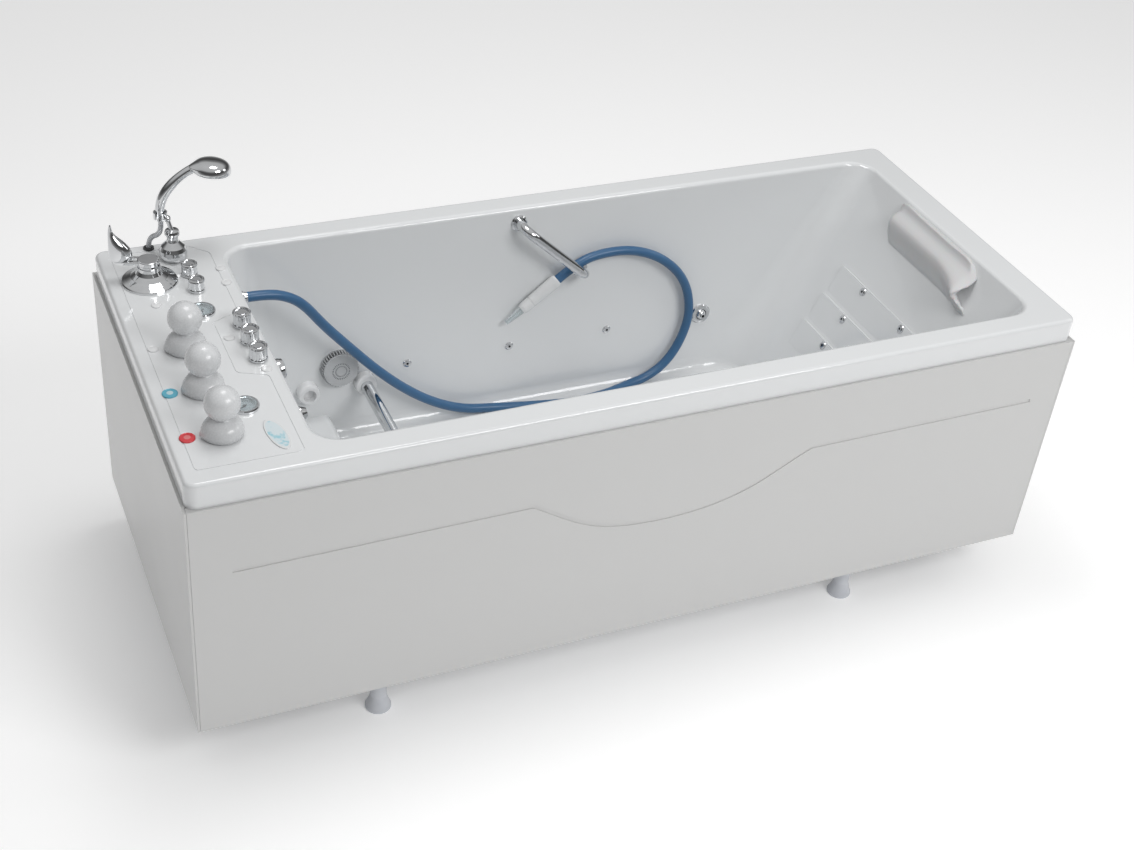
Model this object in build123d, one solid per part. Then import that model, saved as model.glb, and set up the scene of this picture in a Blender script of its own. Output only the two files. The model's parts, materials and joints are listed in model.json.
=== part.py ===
from build123d import *
import math
import os

# A hydrotherapy bathtub: an acrylic basin with a control deck at its foot end, on a steel
# base with four levelling feet, closed in by four apron panels.
# Frame: X runs from the foot end (-X) to the head end (+X), the decorated front is at -Y,
# Z is up and the floor is Z = 0. The origin is under the middle of the tub.

# Driving dimensions, mm

# whole tub
overall_length = 2100
overall_width = 900
rim_height = 790
rim_side = 58
rim_inset = 6
rim_corner = 24
rim_edge = 9
shell_wall = 8
foot_edge = -overall_length / 2
back_edge = overall_width / 2
front_edge = -overall_width / 2

# basin, measured at its lip, the sharp corner of the rim's inner edge
lip_foot_x = -768
lip_head_x = 966
lip_half_y = 380
lip_radius = 11
lip_corner = 60
basin_depth = 555
floor_corner = 125
floor_fillet = 42
side_draft = 5
foot_draft = 6
backrest_angle = 31

# raised foot step and shingled backrest ribs
step_end_x = -522
step_height = 62
step_edge = 18
rib_half_width = 205
rib_rise = 7
rib_tops = (584, 508, 434)
rib_length = 76

# aprons
apron_bottom = 135
apron_sheet = 5
apron_flange = 12
apron_gap = 0.6
groove_depth = 1.8
groove_width = 9

# base frame
rail_y = 373
rail_width = 40
rail_height = 40
rail_bottom = 160
rail_sheet = 3
rail_end = 1000
foot_x = (-627, 600)
crossbar_x = (-880, -600, -60, 540, 880)
floor_riser_y = 200
upright_x = (-1000, -150, 385, 1000)
upright_size = 24
pad_radius = 30
pad_neck_radius = 19
pad_height = 92
screw_radius = 8
nut_across = 26
nut_height = 10

# deck controls, measured from the tub's foot, back and front edges
mixer_x = foot_edge + 99
mixer_y = back_edge - 163
mixer_flange_radius = 61
mixer_neck_radius = 25
mixer_height = 40
mixer_cap_radius = 23.5
mixer_turn = -17
mixer_spigot_radius = 10
lever_pin_x = 17
lever_pin_radius = 1.8
lever_reach = 84
lever_grip = (
    # height, x of the middle, half length, half width
    (0, -58, 23, 15), (10, -58, 25, 18), (25, -59, 24, 17.5), (38, -63, 19.5, 15), (50, -68.5, 13.5, 11),
    (62, -74, 7.5, 6.5), (76, -76, 3.6, 3.2), (86, -75.5, 1.2, 1.1))
holder_x = foot_edge + 170
holder_y = back_edge - 83
holder_radius = 31
small_knob_x = foot_edge + 188
small_knob_y = (back_edge - 160, back_edge - 227)
small_knob_radius = 18.5
small_knob_height = 31
small_knob_flutes = 10
large_knob_x = foot_edge + 247
large_knob_y = (61, -5, -72)
large_knob_radius = 20
large_knob_height = 36
large_knob_flutes = 12
knob_stem_radius = 4
valve_x = foot_edge + 115
valve_y = (5, -150, -305)
valve_ball_radius = 36
valve_skirt_radius = 44
valve_neck_radius = 17
valve_ball_z = 77
valve_stem_radius = 8
gauge_x = foot_edge + 178
gauge_y = (135, -226)
gauge_radius = 29.5
mark_radius = 11.5
mark_height = 2.4
white_marks = (
    (foot_edge + 260, back_edge - 153), (foot_edge + 258, back_edge - 215), (foot_edge + 209, 20),
    (foot_edge + 254, -112), (foot_edge + 49, 22), (foot_edge + 92, back_edge - 265))
cold_mark_at = (foot_edge + 47, -142)
hot_mark_at = (foot_edge + 46, front_edge + 154)
colour_mark_radius = 16
badge_x = foot_edge + 214
badge_y = front_edge + 116
badge_length = 104
badge_width = 38
badge_turn = 8
panel_line_width = 5
panel_line_depth = 1.2

# hand shower
clip_x = foot_edge + 151
clip_y = back_edge - 60
clip_z = rim_height + 94
clip_height = 16
handset_radius = 10
head_x = clip_x + 119
head_y = clip_y - 5
head_z = clip_z + 113
head_radius = 43
spray_rings = ((10, 6), (20, 12), (30, 18))
grommet_x = foot_edge + 126
grommet_y = back_edge - 27
shower_hose_diameter = 12

# wall fittings, heights above the floor
jet_z = 407
side_jet_x = (-321, -45, 231)
main_jet_x = 510
mini_jet_radius = 11
main_jet_radius = 28
eyeball_radius = 15
backrest_jet_y = 90
backrest_jet_drop = 11
grille_x = -499
grille_z = 431
grille_radius = 48
foot_bar_x = -434
spare_socket_x = -580
foot_bar_z = 376
foot_bar_radius = 16
socket_radius = 28
grab_bar_radius = 12.5
grab_bar_a = (-30, 750)
grab_bar_b = (142, 600)
grab_bar_reach = 54
drain_x = -330
drain_radius = 36
overflow_y = -70
overflow_z = 753
filler_y = -228
filler_z = 748

# headrest, down the slope of the backrest from the lip
headrest_y = 0
headrest_half_width = 184
headrest_top = 8
headrest_length = 118
headrest_sheet = 18
headrest_arch_middle = 38
headrest_arch_end = 52

# massage hose, mm, hand-chosen route from its outlet to its nozzle
massage_hose_diameter = 24
massage_route = [
    (-742, 262, 727), (-694, 262, 727), (-648, 264, 712), (-608, 269, 681), (-556, 281, 604),
    (-494, 290, 528), (-425, 297, 446), (-352, 300, 372), (-270, 302, 308), (-180, 306, 262),
    (-85, 303, 250.5), (10, 282, 250.5), (110, 266, 250.5), (210, 274, 250.5), (290, 298, 250.5),
    (352, 306, 258), (408, 313, 292), (446, 319, 352), (466, 325, 432), (443, 333, 530),
    (374, 340, 604), (285, 345, 643),
    (198, 346, 647), (127, 344, 631), (72, 341, 590)]
nozzle_radius = 17
nozzle_length = 118
nozzle_tip_length = 52

# pump under the control deck
pump_x = -870
pump_z = 290
volute_radius = 78
volute_width = 56
volute_y = 110
motor_radius = 62
motor_length = 190
shaft_radius = 9
bearing_gap = 0.05
pipe_radius = 25
branch_radius = 14
branch_z = 500
branch_y = 378
suction_y = 395

# shanks and collars that pass the shell
mixer_shank_radius = 17
holder_stud_radius = 7
knob_collar_radius = 8
valve_collar_radius = 14
gauge_case_radius = 25
grommet_radius = 9
mini_shank_radius = 8
main_shank_radius = 22
grille_shank_radius = 34
outlet_shank_radius = 13
overflow_shank_radius = 16
filler_shank_radius = 10
drain_shank_radius = 26

# clearances
seat_gap = 0.3
stem_gap = 0.06

# line pressed into the front apron, (x, z): straight, down through a wave, straight on
groove_foot = (-962, 564)
groove_kink = (-318, 568)
groove_wave = [(-273, 539), (-168, 480), (-108, 464), (-17, 456), (77, 460), (154, 474), (230, 501),
               (304, 542)]
groove_rise = (363, 573)
groove_head = (966, 576)

# smaller fixed sizes
screw_seat = 60
clip_heights = (260, 610)
knob_valve_depth = 36
valve_depth = 60
inlet_radius = 13.2
inlet_length = 32
mixer_body_bottom = 690
needle_rest_angle = 215
grille_fins = 40
jet_body_radius = 14
jet_body_length = 28
riser_depth = 40
socket_length = 26
socket_floor = 9
impeller_radius = 52
pressure_radius = 18
fan_room = 44
trap_reach = 110
trap_outlet_radius = 25
trap_outlet_length = 60
trap_shoulder_radius = 28

# shower hose routes, hand-chosen: from the hand shower's nut to inside the deck, and the store
shower_route = [
    (clip_x, clip_y, clip_z - 6), (clip_x, clip_y, clip_z - 28), (clip_x - 7, clip_y + 9, clip_z - 47),
    (clip_x - 18, clip_y + 24, clip_z - 58), (grommet_x, grommet_y, rim_height + 16),
    (grommet_x, grommet_y, rim_height - 20), (grommet_x - 0.4, grommet_y + 0.3, rim_height - 75),
    (grommet_x - 0.4, grommet_y + 0.3, rim_height - 130)]
store_route = [
    shower_route[-1], (grommet_x - 0.4, grommet_y + 0.3, rim_height - 215),
    (grommet_x - 1, grommet_y, rim_height - 286), (grommet_x - 2, grommet_y, rim_height - 358),
    (grommet_x - 7, grommet_y - 18, rim_height - 390), (grommet_x - 12, grommet_y - 49, rim_height - 408),
    (mixer_x + 10, mixer_y + 50, rim_height - 408), (mixer_x + 5, mixer_y + 19, rim_height - 390),
    (mixer_x + 1, mixer_y + 1, rim_height - 358), (mixer_x, mixer_y + 0.4, rim_height - 287),
    (mixer_x, mixer_y, rim_height - 192), (mixer_x, mixer_y, mixer_body_bottom)]

# worked out from the sizes above
floor_z = rim_height - basin_depth
rim_bottom = rim_height - rim_side
apron_top = rim_bottom - apron_gap
deck_under = rim_height - shell_wall


def tangent(degrees):
    return math.tan(math.radians(degrees))


def side_y(z):
    """Half width of the basin's inside at height z."""
    return lip_half_y - (rim_height - z) * tangent(side_draft)


def foot_wall_x(z):
    """X of the foot wall's inner face at height z."""
    return lip_foot_x + (rim_height - z) * tangent(foot_draft)


def backrest_x(z):
    """X of the backrest's inner face at height z."""
    return lip_head_x - (rim_height - z) * tangent(backrest_angle)


def back_wall(x, z):
    """Plane on the back wall's inner face, its Z into the basin and its X along the tub."""
    a = math.radians(side_draft)
    return Plane((x, side_y(z), z), x_dir=(1, 0, 0), z_dir=(0, -math.cos(a), math.sin(a)))


def front_wall(x, z):
    """Plane on the front wall's inner face, its Z into the basin."""
    a = math.radians(side_draft)
    return Plane((x, -side_y(z), z), x_dir=(-1, 0, 0), z_dir=(0, math.cos(a), math.sin(a)))


def foot_wall(y, z):
    """Plane on the foot wall's inner face, its Z into the basin."""
    a = math.radians(foot_draft)
    return Plane((foot_wall_x(z), y, z), x_dir=(0, 1, 0), z_dir=(math.cos(a), 0, math.sin(a)))


def backrest(y, z):
    """Plane on the backrest's inner face, its Z into the basin and its Y down the slope."""
    a = math.radians(backrest_angle)
    return Plane((backrest_x(z), y, z), x_dir=(0, 1, 0), z_dir=(-math.cos(a), 0, math.sin(a)))


def disc(radius, height, z=0):
    return Pos(0, 0, z) * Cylinder(radius, height, align=(Align.CENTER, Align.CENTER, Align.MIN))


def block(x0, x1, y0, y1, z0, z1):
    return Pos((x0 + x1) / 2, (y0 + y1) / 2, (z0 + z1) / 2) * Box(x1 - x0, y1 - y0, z1 - z0)


def turned(points):
    """Solid of revolution about Z of a closed outline of (radius, height) points."""
    outline = Polyline([(r, 0, z) for r, z in points], close=True)
    return revolve(make_face(outline), Axis.Z)


def rod(start, end, radius):
    """Straight round bar between two points."""
    start = Vector(*start)
    end = Vector(*end)
    along = end - start
    return Plane(start, z_dir=along.normalized()) * disc(radius, along.length)


def tube_along(points, radius, bends):
    """Round bar along straight runs joined by arcs of the radii in bends."""
    path = FilletPolyline(points, radius=bends)
    first = path @ 0
    heading = path % 0
    return sweep(Plane(first, z_dir=heading) * Circle(radius), path=path)


def basin_face(z, grow):
    """Rounded outline of the basin at height z, its walls pushed out square by grow."""
    x0 = foot_wall_x(z) - grow / math.cos(math.radians(foot_draft))
    x1 = backrest_x(z) + grow / math.cos(math.radians(backrest_angle))
    half = side_y(z) + grow / math.cos(math.radians(side_draft))
    share = (rim_height - z) / basin_depth
    radius = lip_corner + (floor_corner - lip_corner) * share + grow
    return Plane((0, 0, z)) * Pos((x0 + x1) / 2, 0) * RectangleRounded(x1 - x0, 2 * half, radius)


def basin_body(grow):
    """The basin's hollow, or with grow its outside, standing on a filleted floor."""
    bottom = floor_z - grow
    top = rim_height + shell_wall if grow == 0 else rim_height
    body = loft([basin_face(bottom, grow), basin_face(top, grow)], ruled=True)
    floor_edges = body.faces().sort_by(Axis.Z)[0].edges()
    return fillet(floor_edges, floor_fillet + grow)


def foot_step():
    """Low moulded step across the foot end of the basin floor."""
    top = floor_z + step_height
    solid = block(lip_foot_x, step_end_x, -lip_half_y, lip_half_y, floor_z - shell_wall / 2, top)
    solid &= basin_body(shell_wall / 2)
    upper = solid.edges().filter_by(Axis.Y).filter_by_position(Axis.Z, top - 1, top + 1)
    return fillet(upper.sort_by(Axis.X)[-1], step_edge)


def backrest_rib(top_z):
    """Wedge on the backrest, proud at its top edge and flush at its lower edge."""
    outline = Polyline([(0, 0, -1.5), (0, 0, rib_rise), (0, rib_length, 0.4), (0, rib_length, -1.5)],
                       close=True)
    wedge = extrude(make_face(outline), amount=2 * rib_half_width, dir=(1, 0, 0))
    return backrest(-rib_half_width, top_z) * wedge


def panel_line():
    """Narrow groove that frames the control deck and steps round the three large knobs."""
    left = -1018
    right = -797
    bay = -858
    corners = [(left, 414), (left, -403), (right, -403), (right, -132), (bay, -106), (bay, 84),
               (right, 112), (right, 372), (right - 42, 414)]
    outer = make_face(Polyline([(x, y) for x, y in corners], close=True))
    outer = fillet(outer.vertices(), 14)
    inner = offset(outer, amount=-panel_line_width, kind=Kind.ARC)
    ring = Plane((0, 0, rim_height - panel_line_depth)) * (outer - inner)
    return extrude(ring, amount=2 * panel_line_depth)


def deck_holes():
    """Holes through the control deck for everything that passes it."""
    places = [(mixer_x, mixer_y, mixer_shank_radius), (holder_x, holder_y, holder_stud_radius)]
    places += [(small_knob_x, y, knob_collar_radius) for y in small_knob_y]
    places += [(large_knob_x, y, knob_collar_radius) for y in large_knob_y]
    places += [(valve_x, y, valve_collar_radius) for y in valve_y]
    places += [(gauge_x, y, gauge_case_radius) for y in gauge_y]
    places += [(grommet_x, grommet_y, grommet_radius)]
    return [Pos(x, y, deck_under - 1) * disc(r + seat_gap / 3, shell_wall + 2) for x, y, r in places]


def wall_holes():
    """Holes through the basin walls and floor, each as (plane, radius)."""
    holes = [(back_wall(x, jet_z), mini_shank_radius) for x in side_jet_x]
    holes += [(front_wall(x, jet_z), mini_shank_radius) for x in side_jet_x]
    holes += [(rib_face(y, z), mini_shank_radius) for y, z in backrest_jet_places()]
    holes += [(back_wall(main_jet_x, jet_z), main_shank_radius)]
    holes += [(front_wall(main_jet_x, jet_z), main_shank_radius)]
    holes += [(back_wall(grille_x, grille_z), grille_shank_radius)]
    holes += [(foot_wall(massage_route[0][1], outlet_z()), outlet_shank_radius)]
    holes += [(foot_wall(overflow_y, overflow_z), overflow_shank_radius)]
    holes += [(foot_wall(filler_y, filler_z), filler_shank_radius)]
    holes += [(Plane((drain_x, 0, floor_z)), drain_shank_radius)]
    return [plane * disc(r + seat_gap / 3, 5 * shell_wall, -3 * shell_wall) for plane, r in holes]


def outlet_z():
    """Height on the foot wall from which the massage hose leaves level."""
    return massage_route[0][2]


def backrest_jet_places():
    """(y, z) of the six small backrest jets, one pair just under each rib's top edge."""
    return [(side * backrest_jet_y, z - backrest_jet_drop) for z in rib_tops for side in (1, -1)]


def rib_slope():
    """Angle between a rib's face and the backrest, in degrees."""
    return math.degrees(math.atan((rib_rise - 0.4) / rib_length))


def rib_face(y, z):
    """Plane on a rib's sloping face where a backrest jet at (y, z) sits."""
    down_rib = backrest_jet_drop / math.cos(math.radians(backrest_angle))
    seat = rib_rise - down_rib * tangent(rib_slope())
    return backrest(y, z) * Pos(0, 0, seat) * Rot(-rib_slope(), 0, 0)


def inside_rim(edge):
    """True for an edge of the basin's lip, False for an edge of the rim's outer side."""
    margin = rim_inset + rim_edge + 5
    centre = edge.center()
    return abs(centre.X) < overall_length / 2 - margin and abs(centre.Y) < overall_width / 2 - margin


def make_shell():
    length = overall_length - 2 * rim_inset
    width = overall_width - 2 * rim_inset
    rim = Pos(0, 0, rim_bottom) * extrude(RectangleRounded(length, width, rim_corner), rim_side)
    rim = fillet(rim.faces().sort_by(Axis.Z)[-1].edges(), rim_edge)
    under = RectangleRounded(length - 2 * shell_wall, width - 2 * shell_wall, rim_corner - shell_wall)
    rim -= Pos(0, 0, rim_bottom - 1) * extrude(under, rim_side - shell_wall + 1)
    shell = rim + basin_body(shell_wall)
    shell -= basin_body(0)
    lip = shell.edges().filter_by_position(Axis.Z, rim_height - 0.01, rim_height + 0.01)
    shell = fillet([edge for edge in lip if inside_rim(edge)], lip_radius)
    shell += foot_step()
    for top_z in rib_tops:
        shell += backrest_rib(top_z)
    shell -= panel_line()
    for hole in deck_holes() + wall_holes():
        shell -= hole
    return shell


def apron_panel(length, height):
    """Sheet standing on X with its face at Y = 0 and a flange turned in along each long edge."""
    sheet = block(-length / 2, length / 2, 0, apron_sheet, 0, height)
    sheet += block(-length / 2, length / 2, 0, apron_sheet + apron_flange, 0, apron_sheet)
    sheet += block(-length / 2, length / 2, 0, apron_sheet + apron_flange, height - apron_sheet, height)
    return sheet


def front_groove():
    """Pressed line across the front apron: straight, down through a long wave and straight on."""
    wave = Spline(groove_kink, *groove_wave, groove_rise)
    centre = Line(groove_foot, groove_kink) + wave + Line(groove_rise, groove_head)
    return trace(centre, groove_width)


def make_front_apron():
    height = apron_top - apron_bottom
    length = overall_length - 2 * (apron_sheet + apron_gap)
    panel = Pos(0, -overall_width / 2, apron_bottom) * apron_panel(length, height)
    cut = Plane((0, -overall_width / 2, 0), x_dir=(1, 0, 0), z_dir=(0, -1, 0)) * front_groove()
    return panel - extrude(cut, amount=groove_depth, both=True)


def make_back_apron():
    height = apron_top - apron_bottom
    length = overall_length - 2 * (apron_sheet + apron_gap)
    return Pos(0, overall_width / 2, apron_bottom) * Rot(0, 0, 180) * apron_panel(length, height)


def make_end_apron(side):
    """Foot apron for side -1, head apron for side 1; each covers the whole width."""
    height = apron_top - apron_bottom
    flange = apron_sheet + apron_flange
    half = overall_width / 2
    panel = block(0, apron_sheet, -half, half, 0, height)
    for z in (0, height - apron_sheet):
        clear = half - flange - apron_gap - 2
        panel += block(0, flange, -clear, clear, z, z + apron_sheet)
    panel = Pos(-overall_length / 2, 0, apron_bottom) * panel
    return panel if side < 0 else panel.rotate(Axis.Z, 180)


def upright_y():
    """Y of the uprights, which stand against the outer side of the rails."""
    return rail_y + rail_width / 2 + upright_size / 2


def make_apron_clips():
    """Blocks on the uprights that the aprons press against."""
    clips = []
    reach_y = overall_width / 2 - apron_sheet - seat_gap
    reach_x = overall_length / 2 - apron_sheet - seat_gap
    outer_y = upright_y() + upright_size / 2
    outer_x = upright_x[-1] + upright_size / 2
    for z in clip_heights:
        for side in (-1, 1):
            low, high = sorted((side * outer_y, side * reach_y))
            clips += [block(x - 9, x + 9, low, high, z - 12, z + 12) for x in upright_x]
            low, high = sorted((side * outer_x, side * reach_x))
            for y in (-upright_y(), upright_y()):
                clips.append(block(low, high, y - 9, y + 9, z - 12, z + 12))
    return clips


def square_tube(length, width, height, sheet):
    """Hollow bar along X, centred in Y, resting on Z = 0."""
    bar = Box(length, width, height, align=(Align.CENTER, Align.CENTER, Align.MIN))
    bore = Box(length + 2, width - 2 * sheet, height - 2 * sheet,
               align=(Align.CENTER, Align.CENTER, Align.MIN))
    return bar - Pos(0, 0, sheet) * bore


def make_base_frame():
    """Two long rails, cross bars between them, risers under the basin and the pump's saddle."""
    solids = []
    rail_top = rail_bottom + rail_height
    for side in (-1, 1):
        rail = Pos(0, side * rail_y, rail_bottom) * square_tube(2 * rail_end, rail_width, rail_height,
                                                               rail_sheet)
        for x in foot_x:
            rail -= Pos(x, side * rail_y, rail_bottom - 1) * disc(screw_radius + seat_gap, rail_height + 2)
        solids.append(rail)
    span = 2 * rail_y - rail_width
    for x in crossbar_x:
        bar = square_tube(span, rail_width, rail_height, rail_sheet)
        solids.append(Pos(x, 0, rail_bottom) * Rot(0, 0, 90) * bar)
    floor_under = floor_z - shell_wall
    for x in crossbar_x[1:4]:
        for side in (-1, 1):
            y = side * floor_riser_y
            solids.append(block(x - 20, x + 20, y - 40, y + 40, rail_top, floor_under))
    saddle = block(pump_x - 34, pump_x + 34, -70, 30, rail_top, pump_z - motor_radius + 14)
    saddle -= Pos(pump_x, 0, pump_z) * Rot(90, 0, 0) * Cylinder(motor_radius + 0.05, 300)
    solids.append(saddle)
    return solids


def make_uprights():
    """Posts from the rails to the underside of the rim."""
    posts = []
    for x in upright_x:
        for side in (-1, 1):
            post = square_tube(deck_under - rail_bottom, upright_size, upright_size, 2)
            post = Rot(0, -90, 0) * Pos((deck_under - rail_bottom) / 2, 0, -upright_size / 2) * post
            posts.append(Pos(x, side * upright_y(), rail_bottom) * post)
    return posts


def make_foot_screws():
    """Levelling screws through the rails, each with a nut under and a nut over the rail."""
    solids = []
    for x in foot_x:
        for side in (-1, 1):
            y = side * rail_y
            top = rail_bottom + rail_height + nut_height + 16
            solids.append(Pos(x, y, screw_seat) * disc(screw_radius, top - screw_seat))
            for z in (rail_bottom - nut_height, rail_bottom + rail_height):
                nut = extrude(RegularPolygon(nut_across / 2, 6, major_radius=False), nut_height)
                solids.append(Pos(x, y, z) * (nut - disc(screw_radius + seat_gap, nut_height)))
    return solids


def make_foot_pads():
    """Flared plastic feet."""
    outline = [(0, 0), (pad_radius, 0), (pad_radius, 5), (pad_radius - 2, 8), (pad_neck_radius + 3, 26),
               (pad_neck_radius, 36), (pad_neck_radius, pad_height - 2), (pad_neck_radius - 2, pad_height),
               (screw_radius + seat_gap, pad_height), (screw_radius + seat_gap, screw_seat), (0, screw_seat)]
    pad = turned(outline)
    return [Pos(x, side * rail_y, 0) * pad for x in foot_x for side in (-1, 1)]


def on_deck(x, y, shape, turn=0):
    return Pos(x, y, rim_height) * Rot(0, 0, turn) * shape


def make_mixer_base():
    """Domed flange and neck of the bath mixer, with its shank through the deck."""
    rim = mixer_flange_radius
    neck = mixer_neck_radius
    flange = turned([(0, 0), (rim, 0), (rim, 3.5), (rim - 2, 6), (rim - 9, 9.5), (rim - 20, 15.5),
                     (neck + 5, 24), (neck + 0.5, 32), (neck, mixer_height), (0, mixer_height)])
    flange += disc(mixer_shank_radius, shell_wall + 34, -shell_wall - 34)
    flange -= disc(mixer_spigot_radius + stem_gap, 16, mixer_height - 15)
    return on_deck(mixer_x, mixer_y, flange, mixer_turn)


def make_mixer_turret():
    """Turning part of the mixer: a disc with a spigot, and two ears that hold the lever's pin."""
    low = mixer_height + seat_gap
    high = low + 5.7
    turret = disc(mixer_cap_radius, high - low, low) + disc(mixer_spigot_radius, 14, low - 13)
    turret -= block(8, mixer_cap_radius + 1, -30, 30, high - 3.5, high + 1)
    pin_z = high + 4
    for side in (-1, 1):
        low_y, high_y = sorted((side * 6.2, side * 10.4))
        ear = block(lever_pin_x - 4, lever_pin_x + 4, low_y, high_y, high - 3.6, pin_z)
        ear += Pos(lever_pin_x, side * 8.3, pin_z) * Rot(90, 0, 0) * Cylinder(4, 4.2)
        turret += ear
    turret += Pos(lever_pin_x, 0, pin_z) * Rot(90, 0, 0) * Cylinder(lever_pin_radius, 20)
    return on_deck(mixer_x, mixer_y, turret, mixer_turn)


def lever_fin(base_z):
    """Flame-shaped grip that stands on the end of the lever."""
    faces = [Plane((x, 0, base_z + z)) * Ellipse(a, b) for z, x, a, b in lever_grip]
    return loft(faces)


def make_mixer_lever():
    """Lever: a cap over the turret, a flat open loop and the upright grip."""
    low = mixer_height + seat_gap + 6.1
    cap = disc(mixer_cap_radius, 10.4, low)
    cap = fillet(cap.edges().filter_by(GeomType.CIRCLE).sort_by(Axis.Z)[-1], 2.5)
    arm = Pos(-lever_reach / 2 + 5, 0, low + 1.5) * extrude(SlotOverall(lever_reach - 6, 29), 7)
    arm = fillet(arm.edges().filter_by_position(Axis.Z, low + 8.4, low + 8.6), 2)
    slot = Pos(-40, 0, low) * extrude(SlotOverall(34, 11), 12)
    lever = cap + (arm - slot)
    lever += lever_fin(low + 7)
    for side in (-1, 1):
        low_y, high_y = sorted((side * 5.8, side * 11))
        lever -= block(lever_pin_x - 7, 30, low_y, high_y, low - 1, low + 8.2)
    pin = Pos(lever_pin_x, 0, low + 3.6) * Rot(90, 0, 0) * Cylinder(lever_pin_radius + stem_gap, 14)
    return on_deck(mixer_x, mixer_y, lever - pin, mixer_turn)


def stem_bottom():
    return Vector(holder_x, holder_y, rim_height + 70)


def stem_top():
    return Vector(clip_x + 12, clip_y - 14.5, clip_z + 5)


def make_shower_holder():
    """Squashed ball on the deck with a waisted collar and a leaning stem."""
    r = holder_radius
    ball = turned([(0, 0), (r - 10, 0), (r - 4, 4), (r - 1, 10), (r, 18), (r - 1, 26), (r - 5, 34),
                   (r - 12, 41), (14, 46), (12, 52), (13, 58), (16.5, 63), (17, 68), (15, 73), (0, 75)])
    ball += disc(holder_stud_radius, 30 + shell_wall, -30 - shell_wall)
    holder = on_deck(holder_x, holder_y, ball)
    return holder + rod(stem_bottom(), stem_top(), 5)


def clip_bore(gap):
    """Tapered seat of the hand shower in its clip, widened by gap."""
    return Pos(clip_x, clip_y, clip_z) * turned([(0, 0), (handset_radius + 0.8 + gap, 0),
                                                (handset_radius + 2 + gap, clip_height),
                                                (0, clip_height)])


def make_shower_clip():
    ring = Pos(clip_x, clip_y, clip_z) * disc(handset_radius + 5.5, clip_height)
    ring += Pos(*stem_top()) * Sphere(8)
    ring -= rod(stem_bottom(), stem_top() + (stem_top() - stem_bottom()).normalized(), 5.1)
    ring -= clip_bore(seat_gap)
    slot = block(-30, 0, -6.8, 6.8, -2, clip_height + 2)
    ring -= Pos(clip_x, clip_y, clip_z) * Rot(0, 0, 60) * slot
    return Pos(0, 0, 0) * ring.solids().sort_by(SortBy.VOLUME)[-1]


def handset_path():
    return [(clip_x, clip_y, clip_z), (clip_x, clip_y, clip_z + 26), (clip_x + 14, clip_y - 1, clip_z + 62),
            (clip_x + 42, clip_y - 3, clip_z + 94), (head_x - 30, head_y, head_z + 6)]


def head_plane():
    """Plane through the middle of the shower head, its Z out of the back of the head."""
    return Plane((head_x, head_y, head_z), x_dir=(1, 0, -0.12), z_dir=(0.12, 0.10, 1))


def make_handset():
    """Hand shower: tapered seat, curved handle and oval head with its hose thread."""
    seat = clip_bore(0) + Pos(clip_x, clip_y, clip_z - 6) * disc(8.4, 7)
    handle = tube_along(handset_path(), handset_radius - 0.5, [24, 60, 60])
    r = head_radius
    bowl = turned([(0, -12), (r - 3, -12), (r, -9), (r + 0.5, -4), (r - 1, 2), (r - 5, 8), (r - 12, 14),
                   (r - 22, 18.5), (0, 21)])
    return seat + handle + head_plane() * bowl - head_plane() * disc(r - 5, 40, -49)


def make_spray_plate():
    """Round plate in the shower head with rings of spray holes."""
    r = head_radius - 5 - seat_gap / 3
    plate = disc(r, 3, -12)
    for ring_radius, count in spray_rings:
        with_holes = [Rot(0, 0, 360 / count * i) * Pos(ring_radius, 0, 0) * disc(0.9, 6, -12)
                      for i in range(count)]
        plate -= with_holes
    return head_plane() * plate


def make_shower_hose():
    """Hand shower's hose from its nut through the grommet and straight down inside the deck."""
    return tube_along(shower_route, shower_hose_diameter / 2, bend_radii(shower_route))


def make_shower_hose_store():
    """Stored loop of the shower hose between the grommet's drop and the mixer's outlet."""
    return tube_along(store_route, shower_hose_diameter / 2, bend_radii(store_route))


def make_grommet():
    bore = shower_hose_diameter / 2 + 0.8
    ring = disc(grommet_radius, shell_wall + 2, -shell_wall - 1) + disc(grommet_radius + 3, 4)
    ring += disc(grommet_radius + 3, 3, -shell_wall - 3)
    return on_deck(grommet_x, grommet_y, ring - disc(bore, 30, -15))


def bend_radii(points):
    """Radius at each inner point: 0.45 of the shorter run over the tangent of half the turn."""
    radii = []
    for before, here, after in zip(points, points[1:], points[2:]):
        a = Vector(*here) - Vector(*before)
        b = Vector(*after) - Vector(*here)
        half_turn = math.radians(a.get_angle(b) / 2)
        radii.append(0.45 * min(a.length, b.length) / math.tan(half_turn))
    return radii


def make_knob(radius, height, flutes):
    """Round control knob with a fluted side, a dished top and its stem."""
    knob = turned([(0, seat_gap), (radius - 1.5, seat_gap), (radius, 2), (radius, 6), (radius - 1, 8),
                   (radius - 1, height - 6), (radius, height - 4), (radius - 1, height - 1),
                   (radius - 2.5, height), (radius - 5, height), (radius - 6, height - 1.5),
                   (radius - 7, height - 4), (0, height - 4)])
    knob += disc(radius - 10, 2.5, height - 4)
    cutters = [Rot(0, 0, 360 / flutes * i) * Pos(radius + 1, 0, 8) * disc(3, height - 15)
               for i in range(flutes)]
    knob -= cutters
    return knob + disc(knob_stem_radius, shell_wall + 22, -shell_wall - 21)


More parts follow.
